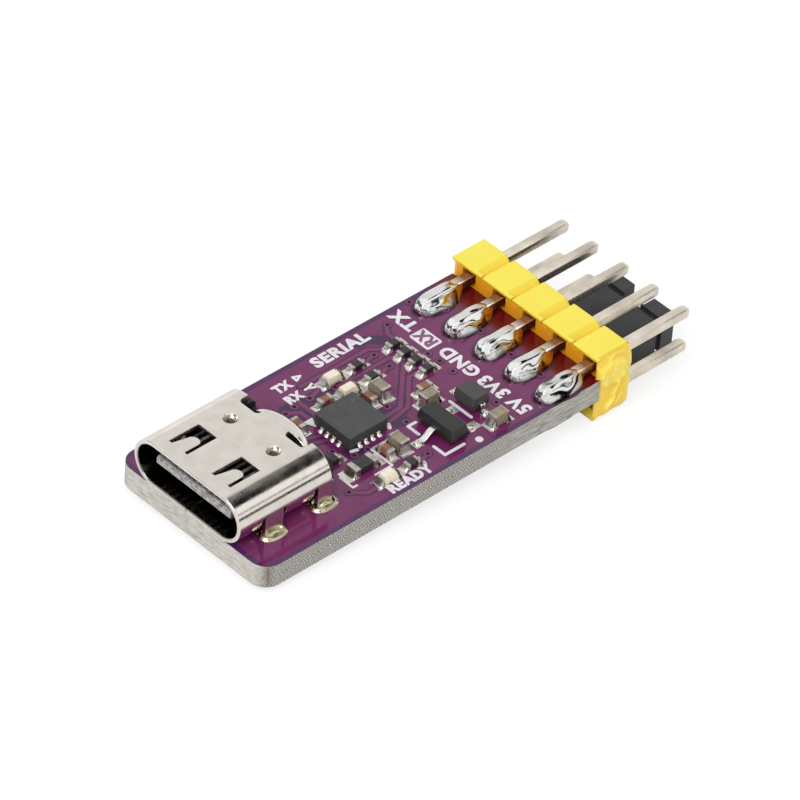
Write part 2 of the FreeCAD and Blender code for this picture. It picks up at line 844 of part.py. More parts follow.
# Notch between the two outer lugs, its inner end a shallow arc
def jumper_notch():
    low = jumper_middle_z - jumper_height / 2
    start = jumper_front - jumper_notch_depth
    shoulder = start + jumper_notch_arc
    left, right = jumper_y + jumper_notch_width / 2, jumper_y - jumper_notch_width / 2
    corners = [Vector(shoulder, left, low), Vector(jumper_front, left, low),
               Vector(jumper_front, right, low), Vector(shoulder, right, low)]
    outline = Part.Wire([
        Part.LineSegment(corners[0], corners[1]).toShape(),
        Part.LineSegment(corners[1], corners[2]).toShape(),
        Part.LineSegment(corners[2], corners[3]).toShape(),
        Part.Arc(corners[3], Vector(start, jumper_y, low), corners[0]).toShape(),
    ])
    return Part.Face(outline).extrude(Vector(0, 0, jumper_height))


# Inside the cap: one chamber for the clip, then a blind bore for each pin's end
def jumper_bores():
    chamber_y = around(jumper_y, jumper_width - 2 * jumper_wall)
    chamber_z = around(jumper_middle_z, jumper_height - 2 * jumper_wall)
    chamber_end = jumper_back + clip_recess + clip_length
    bores = [block((jumper_back, chamber_end), chamber_y, chamber_z)]
    bore = pin_side + 2 * jumper_clearance
    for number in (first_jumped_pin, first_jumped_pin + 1):
        bores.append(block((chamber_end, jumper_front - jumper_floor), around(pin_y(number), bore),
                           around(jumper_middle_z, bore)))
    return bores


# Spring clip: leaves above and below the two pins, joined by the fold between them
def make_jumper_clip():
    x_range = (jumper_back + clip_recess, jumper_back + clip_recess + clip_length)
    leaf_width = jumper_width - 2 * jumper_wall
    inner = pin_side / 2 + clip_pin_clearance
    leaves = [block(x_range, around(jumper_y, leaf_width),
                    (jumper_middle_z + inner, jumper_middle_z + inner + clip_thickness)),
              block(x_range, around(jumper_y, leaf_width),
                    (jumper_middle_z - inner - clip_thickness, jumper_middle_z - inner)),
              block(x_range, around(jumper_y, clip_thickness), around(jumper_middle_z, 2 * inner))]
    return joined(leaves)


def all_nodes():
    nodes = {
        "circuit_board": make_circuit_board(),
        "usb_shell": make_usb_shell(),
        "usb_insulator": make_usb_insulator(),
        "usb_tongue": make_usb_tongue(),
        "usb_mid_plate": make_usb_mid_plate(),
        "usb_contacts": make_usb_contacts(),
        "shell_solder": make_shell_solder(),
        "serial_chip": make_serial_chip(),
        "serial_chip_pads": make_serial_chip_pads(),
        "regulator_leads": make_regulator_leads(),
        "diode_leads": make_diode_leads(),
        "header_housing": make_header_housing(),
        "top_pin_solder": make_pin_solder("top"),
        "bottom_pin_solder": make_pin_solder("bottom"),
        "chip_solder": make_chip_solder(),
        "fuse": chip_part(fuse_place + ("x",), fuse_size),
        "jumper_cap": make_jumper_cap(),
        "jumper_clip": make_jumper_clip(),
    }
    nodes["regulator_body"] = drafted_body(regulator_place, regulator_body).cut(nodes["regulator_leads"])
    nodes["diode_body"] = drafted_body(diode_place, diode_body).cut(nodes["diode_leads"])
    for name, place in led_places.items():
        nodes[name] = make_led(place)
    for number, place in enumerate(small_capacitor_places, 1):
        nodes["small_capacitor_%d" % number] = chip_part(place, small_capacitor)
    for number, place in enumerate(large_capacitor_places, 1):
        nodes["large_capacitor_%d" % number] = chip_part(place, large_capacitor)
    for number, place in enumerate(resistor_places, 1):
        nodes["resistor_%d" % number] = chip_part(place, resistor_size)
    for row in row_heights:
        for number in range(1, pin_count + 1):
            nodes["%s_pin_%d" % (row, number)] = make_pin(number, row)
    return nodes


def main():
    os.makedirs("parts", exist_ok=True)
    for name, shape in all_nodes().items():
        placed = shape.copy()
        placed.translate(Vector(-origin_x, 0, -origin_z))
        placed.exportStep("parts/%s.step" % name)


main()
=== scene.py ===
import math

import bpy
import numpy as np
from mathutils import Matrix, Vector


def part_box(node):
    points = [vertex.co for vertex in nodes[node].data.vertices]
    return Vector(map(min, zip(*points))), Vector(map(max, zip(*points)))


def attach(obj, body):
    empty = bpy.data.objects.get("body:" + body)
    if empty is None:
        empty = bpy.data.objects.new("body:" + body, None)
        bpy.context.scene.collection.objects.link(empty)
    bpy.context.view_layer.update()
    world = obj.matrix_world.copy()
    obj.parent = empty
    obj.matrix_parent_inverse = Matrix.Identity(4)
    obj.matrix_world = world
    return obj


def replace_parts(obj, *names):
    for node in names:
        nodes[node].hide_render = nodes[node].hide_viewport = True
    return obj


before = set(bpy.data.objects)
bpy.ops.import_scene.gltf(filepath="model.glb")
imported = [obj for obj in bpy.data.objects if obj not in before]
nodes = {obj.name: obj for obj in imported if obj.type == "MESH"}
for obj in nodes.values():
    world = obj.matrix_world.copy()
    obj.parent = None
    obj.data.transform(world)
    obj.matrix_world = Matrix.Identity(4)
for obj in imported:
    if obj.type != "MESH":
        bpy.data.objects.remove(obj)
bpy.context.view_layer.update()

mm = 0.001


# Low and high corner of a node's box, in metres
def boxCorners(name):
    low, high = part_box(name)
    return np.array(low), np.array(high)


boardLow, boardHigh = boxCorners("circuit_board")
boardTop = boardHigh[2]
boardMiddleY = (boardLow[1] + boardHigh[1]) / 2
fullTurn = 2 * math.pi
squareSigns = ((-1, -1), (1, -1), (1, 1), (-1, 1))
print("frame loaded with", len(nodes), "nodes")


# Places on the board are in mm from its header end and centre line, with height over its top
def onBoard(x, y, z=0.0):
    return np.array([boardHigh[0] + x * mm, boardMiddleY + y * mm, boardTop + z * mm])


# Such places for grids of x, y and height, as one list of points
def boardPoints(x, y, up):
    return onBoard(0, 0) + np.stack(np.broadcast_arrays(x, y, up), -1).reshape(-1, 3) * mm


# Middle and size of a node in mm on the board, and the axis that it runs along
def partBox(name):
    low, high = boxCorners(name)
    middle = ((low + high) / 2 - onBoard(0, 0)) / mm
    size = (high - low) / mm
    return middle, size, "x" if size[0] > size[1] else "y"


# A tone in 0 to 255 as the linear colour that a shader takes
def srgb(red, green, blue):
    values = np.array([red, green, blue]) / 255
    linear = np.where(values <= 0.04045, values / 12.92, ((values + 0.055) / 1.055) ** 2.4)
    return (*[float(v) for v in linear], 1.0)


# Small node helpers: each returns the output socket of what it adds
def startMaterial(name):
    material = bpy.data.materials.new(name)
    material.use_nodes = True
    return material, material.node_tree, material.node_tree.nodes["Principled BSDF"]


def addNode(tree, kind, **settings):
    node = tree.nodes.new(kind)
    for key, value in settings.items():
        setattr(node, key, value)
    return node


def feed(tree, socket, value):
    if hasattr(value, "is_output"):
        tree.links.new(value, socket)
    else:
        socket.default_value = value


# Noise whose grains are about grain mm across; stretch lengthens them along an axis
def noise(tree, grain, detail=4, stretch=(1, 1, 1)):
    mapping = addNode(tree, "ShaderNodeMapping")
    tree.links.new(addNode(tree, "ShaderNodeTexCoord").outputs["Object"], mapping.inputs["Vector"])
    mapping.inputs["Scale"].default_value = [1 / (grain * mm * s) for s in stretch]
    node = addNode(tree, "ShaderNodeTexNoise")
    tree.links.new(mapping.outputs["Vector"], node.inputs["Vector"])
    for name, value in (("Scale", 1), ("Detail", detail), ("Roughness", 0.55)):
        node.inputs[name].default_value = value
    return node.outputs["Fac"]


# One step of arithmetic on sockets or numbers
def doMath(tree, operation, a, b=0.0):
    node = addNode(tree, "ShaderNodeMath", operation=operation)
    feed(tree, node.inputs[0], a)
    feed(tree, node.inputs[1], b)
    return node.outputs[0]


# Product of all the factors
def times(tree, first, *others):
    for factor in others:
        first = doMath(tree, "MULTIPLY", first, factor)
    return first


# Distance of a value from a centre
def awayFrom(tree, value, centre):
    return doMath(tree, "ABSOLUTE", doMath(tree, "SUBTRACT", value, float(centre)))


# The first value where the share is 0, the second where it is 1
def blend(tree, share, first, second):
    rest = doMath(tree, "SUBTRACT", 1.0, share)
    return doMath(tree, "ADD", times(tree, first, rest), times(tree, second, share))


# Maps a value from one span to another, held at the ends
def remap(tree, value, low, high, toLow=0.0, toHigh=1.0):
    node = addNode(tree, "ShaderNodeMapRange")
    feed(tree, node.inputs["Value"], value)
    for name, number in (("From Min", low), ("From Max", high), ("To Min", toLow), ("To Max", toHigh)):
        node.inputs[name].default_value = float(number)
    return node.outputs["Result"]


# Mixes two colours by a share; each is an output socket or a tone in 0 to 255
def mixColour(tree, share, *colours):
    node = addNode(tree, "ShaderNodeMix", data_type="RGBA")
    feed(tree, node.inputs["Factor"], share)
    for socket, colour in zip([s for s in node.inputs if s.type == "RGBA"], colours):
        feed(tree, socket, colour if hasattr(colour, "is_output") else srgb(*colour))
    return [s for s in node.outputs if s.type == "RGBA"][0]


# Bumps that stand depth mm high where height is 1
def bumpFrom(tree, height, depth):
    node = addNode(tree, "ShaderNodeBump")
    feed(tree, node.inputs["Height"], height)
    node.inputs["Distance"].default_value = depth * mm
    node.inputs["Strength"].default_value = 1
    return node.outputs["Normal"]


# Rounds the look of sharp edges by radius mm, under the fine bumps of height
def softNormal(tree, shader, radius, height, depth):
    edge = addNode(tree, "ShaderNodeBevel", samples=4)
    edge.inputs["Radius"].default_value = radius * mm
    node = bumpFrom(tree, height, depth).node
    tree.links.new(edge.outputs["Normal"], node.inputs["Normal"])
    tree.links.new(node.outputs["Normal"], shader.inputs["Normal"])


# x, y and z of each place on a piece, or of its normal
def splitPlace(tree, kind="Object"):
    split = addNode(tree, "ShaderNodeSeparateXYZ")
    tree.links.new(addNode(tree, "ShaderNodeTexCoord").outputs[kind], split.inputs[0])
    return split.outputs


# Metal with a grain: small bumps, and patches that are a little darker and rougher than others
def metal(name, tone, roughness, grain=0.12, bump=0.004, patch=0.1, stretch=(1, 1, 1), vary=0.15, edge=0.03):
    material, tree, shader = startMaterial(name)
    patches = noise(tree, grain * 9, detail=3)
    darker = [value * (1 - vary) for value in tone]
    shader.inputs["Metallic"].default_value = 1
    feed(tree, shader.inputs["Base Color"], mixColour(tree, remap(tree, patches, 0.35, 0.7), tone, darker))
    feed(tree, shader.inputs["Roughness"], remap(tree, patches, 0.3, 0.7, roughness, roughness + patch))
    softNormal(tree, shader, edge, noise(tree, grain, stretch=stretch), bump)
    return material


# Moulded plastic: a fine matt texture and slow changes of tone
def plastic(name, tone, darker, roughness, grain=0.1, bump=0.004, soft=0.0, softDepth=0.5, edge=0.06):
    material, tree, shader = startMaterial(name)
    slow = remap(tree, noise(tree, grain * 14, detail=3), 0.3, 0.7)
    fine = noise(tree, grain, detail=6)
    feed(tree, shader.inputs["Base Color"], mixColour(tree, slow, tone, darker))
    feed(tree, shader.inputs["Roughness"], remap(tree, fine, 0.3, 0.7, roughness - 0.06, roughness + 0.08))
    softNormal(tree, shader, edge, fine, bump)
    shader.inputs["Subsurface Weight"].default_value = soft
    shader.inputs["Subsurface Radius"].default_value = (softDepth, softDepth * 0.6, softDepth * 0.2)
    shader.inputs["Subsurface Scale"].default_value = mm
    return material


# Adds a second tone by a share: the first tone stays where the share is 0
def overTone(material, share, tone):
    tree = material.node_tree
    socket = tree.nodes["Principled BSDF"].inputs["Base Color"]
    feed(tree, socket, mixColour(tree, share, socket.links[0].from_socket, tone))


# How far a face turns away from straight up: 0 on level tops, 1 on walls and undersides
def turnedDown(material):
    tree = material.node_tree
    return remap(tree, splitPlace(tree, "Normal")[2], 0.55, 0.1)


# Share that rises from 0 at x = far to 1 at x = near, both in mm from the board's header end
def alongBoard(material, far, near):
    tree = material.node_tree
    return remap(tree, splitPlace(tree)[0], boardHigh[0] + far * mm, boardHigh[0] + near * mm)


# Small parts by the start or end of their names: tone, darker tone, half length between the metal ends
# in mm, and roughness
chipLooks = {
    "small_capacitor": ((150, 98, 72), (126, 80, 58), 0.25, 0.35),
    "large_capacitor": ((158, 147, 126), (136, 126, 106), 0.42, 0.35),
    "resistor": ((44, 43, 42), (34, 33, 33), 0.28, 0.25),
    "fuse": ((48, 46, 42), (38, 36, 34), 0.5, 0.3),
    "led": ((250, 242, 220), (236, 222, 200), 0.57, 0.3),
}
chipEnds = {"tone": (214, 210, 202), "darker": (172, 168, 160), "roughness": 0.28, "blur": 0.015}
ledFoil = {"from": 0.5, "to": 0.58, "blur": 0.015, "tone": (112, 126, 66)}


# The entry of chipLooks that a node's name starts or ends with
def chipKind(name):
    return next((kind for kind in chipLooks if name.startswith(kind) or name.endswith(kind)), None)


# Metal ends past bodyHalf mm from the middle, the part's own colour between them
def chipPart(name, tone, darker, bodyHalf, roughness):
    low, high = boxCorners(name)
    along = 0 if high[0] - low[0] > high[1] - low[1] else 1
    material, tree, shader = startMaterial(name + "Look")
    away = awayFrom(tree, splitPlace(tree)[along], (low[along] + high[along]) / 2)
    ends = remap(tree, away, (bodyHalf - chipEnds["blur"]) * mm, (bodyHalf + chipEnds["blur"]) * mm)
    patches = remap(tree, noise(tree, 0.35), 0.35, 0.65)
    body = mixColour(tree, patches, tone, darker)
    tin = mixColour(tree, patches, chipEnds["tone"], chipEnds["darker"])
    feed(tree, shader.inputs["Base Color"], mixColour(tree, ends, body, tin))
    feed(tree, shader.inputs["Metallic"], ends)
    feed(tree, shader.inputs["Roughness"], remap(tree, ends, 0, 1, roughness, chipEnds["roughness"]))
    softNormal(tree, shader, 0.05, noise(tree, 0.12), 0.006)
    # A lamp's green foil shows as a thin line beside its plated ends
    if name.endswith("led"):
        first, last, blur = ledFoil["from"] * mm, ledFoil["to"] * mm, ledFoil["blur"] * mm
        line = times(tree, remap(tree, away, first, first + blur), remap(tree, away, last, last - blur))
        overTone(material, line, ledFoil["tone"])
    return material


boardLook = {
    "copperMask": (120, 46, 97), "copperMaskDark": (107, 30, 86), "bareMask": (79, 33, 86),
    "rim": 0.35, "edge": (204, 200, 194), "edgeDark": (112, 108, 102), "socketEdge": (210, 206, 198),
    "cornerEdge": (104, 92, 80), "gloss": 0.12, "millPitch": 0.19, "layerPitch": 0.4, "shade": (104, 16, 18),
    "shadeSpan": (-2.4, -1.0), "layerSpan": (-8.6, -6.4),
}


# Purple mask on both faces, with a bluer rim where the copper stops short, painted shade under the header's
# lip, and sawn glass-fibre edges
def boardMaterial(look):
    material, tree, shader = startMaterial("boardMask")
    x, y, z = splitPlace(tree)
    normal = splitPlace(tree, "Normal")
    face = remap(tree, doMath(tree, "ABSOLUTE", normal[2]), 0.45, 0.55)
    endways = doMath(tree, "ABSOLUTE", normal[0])
    # Distance in from the nearest of the four edges
    middle, half = (boardLow + boardHigh) / 2, (boardHigh - boardLow) / 2
    inX, inY = (doMath(tree, "SUBTRACT", float(half[axis]), awayFrom(tree, place, middle[axis]))
                for axis, place in ((0, x), (1, y)))
    inside = doMath(tree, "MINIMUM", inX, inY)
    copper = remap(tree, inside, (look["rim"] - 0.05) * mm, (look["rim"] + 0.05) * mm)
    slow = remap(tree, noise(tree, 2.2, detail=3), 0.35, 0.65)
    pour = mixColour(tree, slow, look["copperMask"], look["copperMaskDark"])
    # Painted shade and reflection: under the header's lip the mask is painted a deep red, for the lip's
    # shadow and the yellow plastic mirrored in it
    mask = mixColour(tree, copper, look["bareMask"], pour)
    mask = mixColour(tree, alongBoard(material, *look["shadeSpan"]), mask, look["shade"])
    # Slanted cutter marks that cross the cloth's layers on the long edges, flat streaks on the socket end
    wobble = times(tree, noise(tree, 0.3, detail=6), 0.24 * mm)
    zigzag = doMath(tree, "PINGPONG", doMath(tree, "ADD", z, wobble), look["layerPitch"] * mm)
    slant = doMath(tree, "ADD", x, doMath(tree, "ADD", wobble, times(tree, zigzag, 0.7)))
    ripple = doMath(tree, "SINE", times(tree, slant, fullTurn / (look["millPitch"] * mm)))
    grit = remap(tree, noise(tree, 0.09, detail=6), 0.2, 0.6, 0.45, 1)
    milled = times(tree, remap(tree, ripple, -0.8, 0.7, 0.15, 1), grit)
    # Towards the header the cut runs along the cloth's layers instead
    layers = remap(tree, noise(tree, 0.075, detail=6, stretch=(9, 1, 1)), 0.3, 0.66, 0.1, 1)
    marks = blend(tree, alongBoard(material, *look["layerSpan"]), milled, layers)
    streaks = remap(tree, noise(tree, 0.13, detail=6, stretch=(1, 4, 0.7)), 0.3, 0.62)
    longEdge = mixColour(tree, marks, look["edgeDark"], look["edge"])
    endEdge = mixColour(tree, streaks, [value * 0.8 for value in look["socketEdge"]], look["socketEdge"])
    edge = mixColour(tree, remap(tree, endways, 0.3, 0.8), longEdge, endEdge)
    # The corners are cut across the cloth and look darker
    bend = doMath(tree, "PINGPONG", remap(tree, endways, 0.2, 0.98, 0, 2), 1.0)
    edge = mixColour(tree, times(tree, bend, remap(tree, streaks, 0, 1, 0.95, 0.6)), edge, look["cornerEdge"])
    feed(tree, shader.inputs["Base Color"], mixColour(tree, face, edge, mask))
    feed(tree, shader.inputs["Roughness"], remap(tree, face, 0, 1, 0.75, look["gloss"]))
    relief = blend(tree, face, marks, times(tree, noise(tree, 0.5, detail=3), 0.35))
    feed(tree, shader.inputs["Normal"], bumpFrom(tree, relief, 0.02))
    return material


steel = metal("socketSteel", (238, 231, 222), 0.1, grain=0.1, bump=0.004, patch=0.08, vary=0.05, edge=0.07)
tinned = metal("tinnedPins", (240, 230, 214), 0.24, grain=0.16, bump=0.003, patch=0.1, stretch=(4, 1, 1))
pinMetal = metal("pinMetal", (240, 230, 214), 0.22, grain=0.16, bump=0.003, patch=0.1, stretch=(4, 1, 1))
# Painted shade: the contacts' and the jumper clip's gold is painted dark brown, for the shadow they lie in
shadedGold = metal("shadedGoldContacts", (92, 70, 40), 0.5)
brightGold = metal("goldTips", (255, 226, 170), 0.3, grain=0.05)
blackMoulding = plastic("blackMoulding", (34, 33, 34), (24, 24, 25), 0.5)
tongueResin = plastic("tongueResin", (196, 196, 198), (104, 106, 110), 0.4, grain=0.03)
yellowMoulding = plastic("yellowMoulding", (255, 236, 84), (255, 231, 72), 0.38, soft=0.3, softDepth=0.7,
                         edge=0.03)
tornPlastic = plastic("tornPlastic", (255, 234, 108), (255, 222, 84), 0.32, grain=0.04, soft=0.2, edge=0.02)
jumperPlastic = plastic("jumperPlastic", (56, 57, 59), (44, 45, 48), 0.38)
epoxy = plastic("chipEpoxy", (72, 73, 74), (60, 61, 62), 0.5, grain=0.05)
darkEpoxy = plastic("regulatorEpoxy", (43, 42, 41), (33, 33, 32), 0.45, grain=0.05)
diodeEpoxy = plastic("diodeEpoxy", (74, 73, 72), (60, 59, 58), 0.42, grain=0.05)

# Painted shade inside the shell: the steel inside is painted brown-black, deeper away from the mouth, where
# it mirrors only itself
shellInsideShade = {"height": 3.16, "skin": (0.2, 0.25), "depth": (0.05, 0.9), "shares": (0.55, 0.97),
               "beforeTab": (-19.66, -19.76), "tone": (56, 44, 34)}


# Distance from the oval tube's middle line tells the inside from the outside
def shadeInsideShell(material, look):
    tree = material.node_tree
    low, high = boxCorners("usb_shell")
    x, y, z = splitPlace(tree)
    radius = look["height"] / 2 * mm
    flat = (high[1] - low[1]) / 2 - radius
    away = awayFrom(tree, y, (low[1] + high[1]) / 2)
    overY = doMath(tree, "MAXIMUM", doMath(tree, "SUBTRACT", away, float(flat)), 0.0)
    upZ = doMath(tree, "SUBTRACT", z, float(high[2] - radius))
    away = doMath(tree, "SQRT", doMath(tree, "ADD", times(tree, overY, overY), times(tree, upZ, upZ)))
    inside = remap(tree, away, *(radius - skin * mm for skin in look["skin"]))
    deep = remap(tree, x, *(low[0] + depth * mm for depth in look["depth"]), *look["shares"])
    # Painted shade over the inside, deeper away from the mouth; the rear tab's rim stands outside, behind the
    # roof
    overTone(material, times(tree, inside, alongBoard(material, *look["beforeTab"]), deep), look["tone"])


# Painted reflection: the two dimples are painted darker, for the room's dark side that they mirror
dimples = {"back": (-22.3, -22.2), "front": (-21.1, -21.2), "side": (2.7, 2.6), "sunk": (0.03, 0.14),
           "share": 0.75, "tone": (104, 88, 74)}


def paintDimpleReflection(material, look):
    tree = material.node_tree
    low, high = boxCorners("usb_shell")
    x, y, z = splitPlace(tree)
    away = awayFrom(tree, y, (low[1] + high[1]) / 2)
    inY = remap(tree, away, *(side * mm for side in look["side"]))
    sunk = remap(tree, z, *(high[2] - depth * mm for depth in look["sunk"]))
    inX = times(tree, alongBoard(material, *look["back"]), alongBoard(material, *look["front"]))
    overTone(material, times(tree, inX, inY, sunk, look["share"]), look["tone"])


# Painted shade: walls and undersides of the yellow housing are painted a deeper orange than the tops, and the
# pocket under each lip deeper still
pocketShade = {"walls": (255, 202, 46), "lip": (0.5, 0.62), "behind": (1.3, 1.1), "ends": (0.14, 0.2),
           "tone": (250, 170, 34)}


# The share is 1 past the lip, behind the front wall and in from both ends
def paintPocketShade(material, look):
    tree = material.node_tree
    low, high = boxCorners("header_housing")
    middle, half = (low + high) / 2, (high - low) / 2
    x, y, z = splitPlace(tree)
    under = remap(tree, awayFrom(tree, z, middle[2]), *(half[2] - depth * mm for depth in look["lip"]))
    past = remap(tree, awayFrom(tree, y, middle[1]), *(half[1] - depth * mm for depth in look["ends"]))
    # Painted shade: faces turned from straight up take a deeper orange, the pocket behind the lip a deeper
    # one again
    overTone(material, turnedDown(material), look["walls"])
    overTone(material, times(tree, under, alongBoard(material, *look["behind"]), past), look["tone"])


shadeInsideShell(steel, shellInsideShade)
paintDimpleReflection(steel, dimples)
paintPocketShade(yellowMoulding, pocketShade)
# The contacts' tails are tinned where they come out behind the socket
overTone(shadedGold, alongBoard(shadedGold, -19.6, -19.4), (206, 196, 178))
# Painted reflection and shade: the pins' tails are painted brown-orange under the header's lips, where they
# mirror the yellow plastic and lie in shade
tailShadeShare = times(pinMetal.node_tree, alongBoard(pinMetal, -1.5, -0.5), alongBoard(pinMetal, 1.2, 0.9), 0.95)
overTone(pinMetal, tailShadeShare, (124, 74, 24))

nodeMaterials = {
    "circuit_board": boardMaterial(boardLook), "usb_shell": steel, "usb_mid_plate": steel,
    "usb_insulator": blackMoulding, "usb_tongue": tongueResin, "usb_contacts": shadedGold,
    "header_housing": yellowMoulding, "jumper_cap": jumperPlastic, "jumper_clip": shadedGold, "serial_chip": epoxy,
    "regulator_body": darkEpoxy, "diode_body": diodeEpoxy,
}
for name in nodes:
    if "solder" in name:
        continue
    kind = chipKind(name)
    material = chipPart(name, *chipLooks[kind]) if kind else nodeMaterials.get(name, tinned)
    mesh = nodes[name].data
    mesh.materials.clear()
    mesh.materials.append(material)
print("materials on the frame's nodes")


# A mesh's points, one row each
def restPoints(mesh):
    points = np.empty(len(mesh.vertices) * 3)
    mesh.vertices.foreach_get("co", points)
    return points.reshape(-1, 3)


# An object with the given data, put in the scene
def addObject(name, data):
    item = bpy.data.objects.new(name, data)
    bpy.context.collection.objects.link(item)
    return item


# A mesh object in one material
def meshObject(name, points, faces, material, smooth=False):
    mesh = bpy.data.meshes.new(name)
    mesh.from_pydata(np.asarray(points).tolist(), [], faces)
    mesh.polygons.foreach_set("use_smooth", [smooth] * len(mesh.polygons))
    mesh.materials.append(material)
    mesh.update()
    return addObject(name, mesh)


# New pieces: points and faces of many grids gathered into one mesh that stays with the adapter
def makePiece(name, parts, material, smooth=True):
    points, faces, start = [], [], 0
    for partPoints, partFaces in parts:
        points.append(partPoints)
        faces += [tuple(int(i) + start for i in face) for face in partFaces]
        start += len(partPoints)
    item = meshObject(name, np.concatenate(points), faces, material, smooth)
    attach(item, "adapter")
    return item


# Two parameters over a grid, rows by columns; a closed second one stops a step before its end
def gridOf(rows, columns, first=(0, 1), second=(0, 1), closed=False):
    across = np.linspace(*second, columns, endpoint=not closed)
    return np.meshgrid(np.linspace(*first, rows), across, indexing="ij")


# Quads over a grid of points, rows by columns; wrap joins the last column to the first
def gridFaces(rows, columns, wrap=False):
    row, column = np.meshgrid(np.arange(rows - 1), np.arange(columns if wrap else columns - 1), indexing="ij")
    here, after = row * columns + column, row * columns + (column + 1) % columns
    return np.stack([here, after, after + columns, here + columns], -1).reshape(-1, 4)


# Holds a share between 0 and 1
def held(value):
    return np.clip(value, 0, 1)


# Rises smoothly from 0 to 1
def smoothStep(share):
    return share * share * (3 - 2 * share)


# A bell curve: 1 where the distance is 0, nearly 0 past two widths
def bell(distance, width):
    return np.exp(-(distance / width) ** 2)


# A cosine or sine raised to a power with its sign kept: both together give a round-cornered square
def squared(wave, power):
    return np.sign(wave) * np.abs(wave) ** power


# Flat shape of the given outline, from just under top up to height mm over it
def plate(outline, height, top=0.0):
    x, y = np.asarray(outline, float).T
    count = len(x)
    points = np.concatenate([boardPoints(x, y, top - 0.01), boardPoints(x, y, top + height)])
    sides = [(i, (i + 1) % count, (i + 1) % count + count, i + count) for i in range(count)]
    return points, sides + [tuple(range(count, 2 * count))]


# Outline of a line with round ends from first to last
def capsule(first, last, width, steps=6):
    first, last = np.array(first, float), np.array(last, float)
    along = np.arctan2(*(last - first)[::-1])
    fan = np.linspace(-math.pi / 2, math.pi / 2, steps)
    ends = [(last, along + fan), (first, along + math.pi + fan)]
    return np.concatenate([place + width / 2 * np.stack([np.cos(turn), np.sin(turn)], 1)
                           for place, turn in ends])


# Outline of a circle
def ring(x, y, radius, steps=24):
    turn = np.linspace(0, fullTurn, steps, endpoint=False)
    return np.stack([x + radius * np.cos(turn), y + radius * np.sin(turn)], 1)


# A flat disc at each place
def discs(places, radius, height):
    return [plate(ring(x, y, radius), height) for x, y in places]


# Strips along each path; those that cross stand at slightly different heights
def lineParts(paths, width, height, lift=0.0015):
    return [plate(capsule(a, b, width), height + lift * (index % 3))
            for path in paths for index, (a, b) in enumerate(zip(path[:-1], path[1:]))]


# Mask over copper tracks is lighter than the gaps beside them
def maskLook(name, tone, darker, gloss=0.28):
    material, tree, shader = startMaterial(name)
    slow = remap(tree, noise(tree, 0.8), 0.35, 0.65)
    feed(tree, shader.inputs["Base Color"], mixColour(tree, slow, tone, darker))
    shader.inputs["Roughness"].default_value = gloss
    feed(tree, shader.inputs["Normal"], bumpFrom(tree, noise(tree, 0.5, detail=3), 0.007))
    return material


tracks = {
    "width": 0.26, "gap": 0.12, "gapHeight": 0.004, "height": 0.016,
    "tone": (127, 50, 101), "gapTone": (70, 30, 76),
    "bare": [
        [(-16.75, 3.3), (-16.0, 3.75), (-12.1, 3.45), (-12.1, 2.3), (-13.3, 1.9), (-15.6, 1.2), (-16.4, 2.2)],
        [(-9.0, 5.1), (-7.9, 5.35), (-6.7, 4.4), (-6.7, 2.0), (-7.3, 2.0), (-7.4, 3.7), (-8.2, 4.6),
         (-9.0, 4.6)],
        [(-12.3, 0.2), (-11.0, 0.2), (-10.7, -0.4), (-10.9, -2.0), (-12.2, -2.0)],
        [(-15.9, -1.3), (-14.2, -1.3), (-14.2, -2.5), (-15.9, -2.5)],
    ],
    "paths": [
        [(-13.9, 4.3), (-8.6, 4.3), (-7.9, 3.7)], [(-12.0, 2.95), (-8.1, 2.95), (-7.8, 2.7)],
        [(-7.7, 2.2), (-10.66, -0.7), (-12.4, -0.78)],
        [(-7.8, 1.0), (-8.4, 1.0), (-10.3, -0.95), (-12.4, -1.3)],
        [(-14.85, 3.6), (-14.9, 1.5)], [(-16.15, 3.1), (-15.4, 2.6), (-15.4, 1.5)],
        [(-18.4, 0.75), (-16.9, 0.75), (-15.6, 0.35)], [(-18.4, 0.25), (-17.0, 0.25), (-15.6, -0.2)],
        [(-6.2, 5.3), (-6.75, 4.6), (-6.75, 3.75)], [(-6.15, 1.85), (-6.5, 2.2), (-6.8, 2.6)],
        [(-17.9, -4.3), (-17.2, -4.95), (-16.1, -4.95)], [(-12.2, -4.7), (-12.9, -4.8)],
        [(-14.6, -2.2), (-14.3, -1.6)], [(-5.2, -2.1), (-6.4, -2.3)],
        [(-14.1, 3.2), (-13.2, 3.45)], [(-8.65, 3.7), (-9.7, 3.5)], [(-8.65, 2.4), (-9.7, 2.2)],
    ],
    "vias": [
        (-6.2, 5.2), (-8.65, 3.7), (-8.65, 2.4), (-11.2, -0.15), (-11.25, -1.85), (-6.15, 1.8),
        (-6.05, 0.9), (-6.1, -0.25), (-2.35, 1.35), (-2.6, 4.05), (-2.45, -1.3), (-2.35, -3.7),
        (-12.2, -4.65), (-16.4, -4.7), (-17.95, -4.25), (-14.15, 3.2), (-15.35, 3.2), (-16.15, 3.05),
        (-5.15, -2.05), (-6.05, -3.85), (-16.3, -1.05), (-14.6, -2.2), (-15.55, -2.1), (-12.35, 3.0),
        (-3.8, 5.9),
    ],
    "viaRing": 0.25, "viaGap": 0.07, "viaHole": 0.12, "viaHeight": 0.024,
}


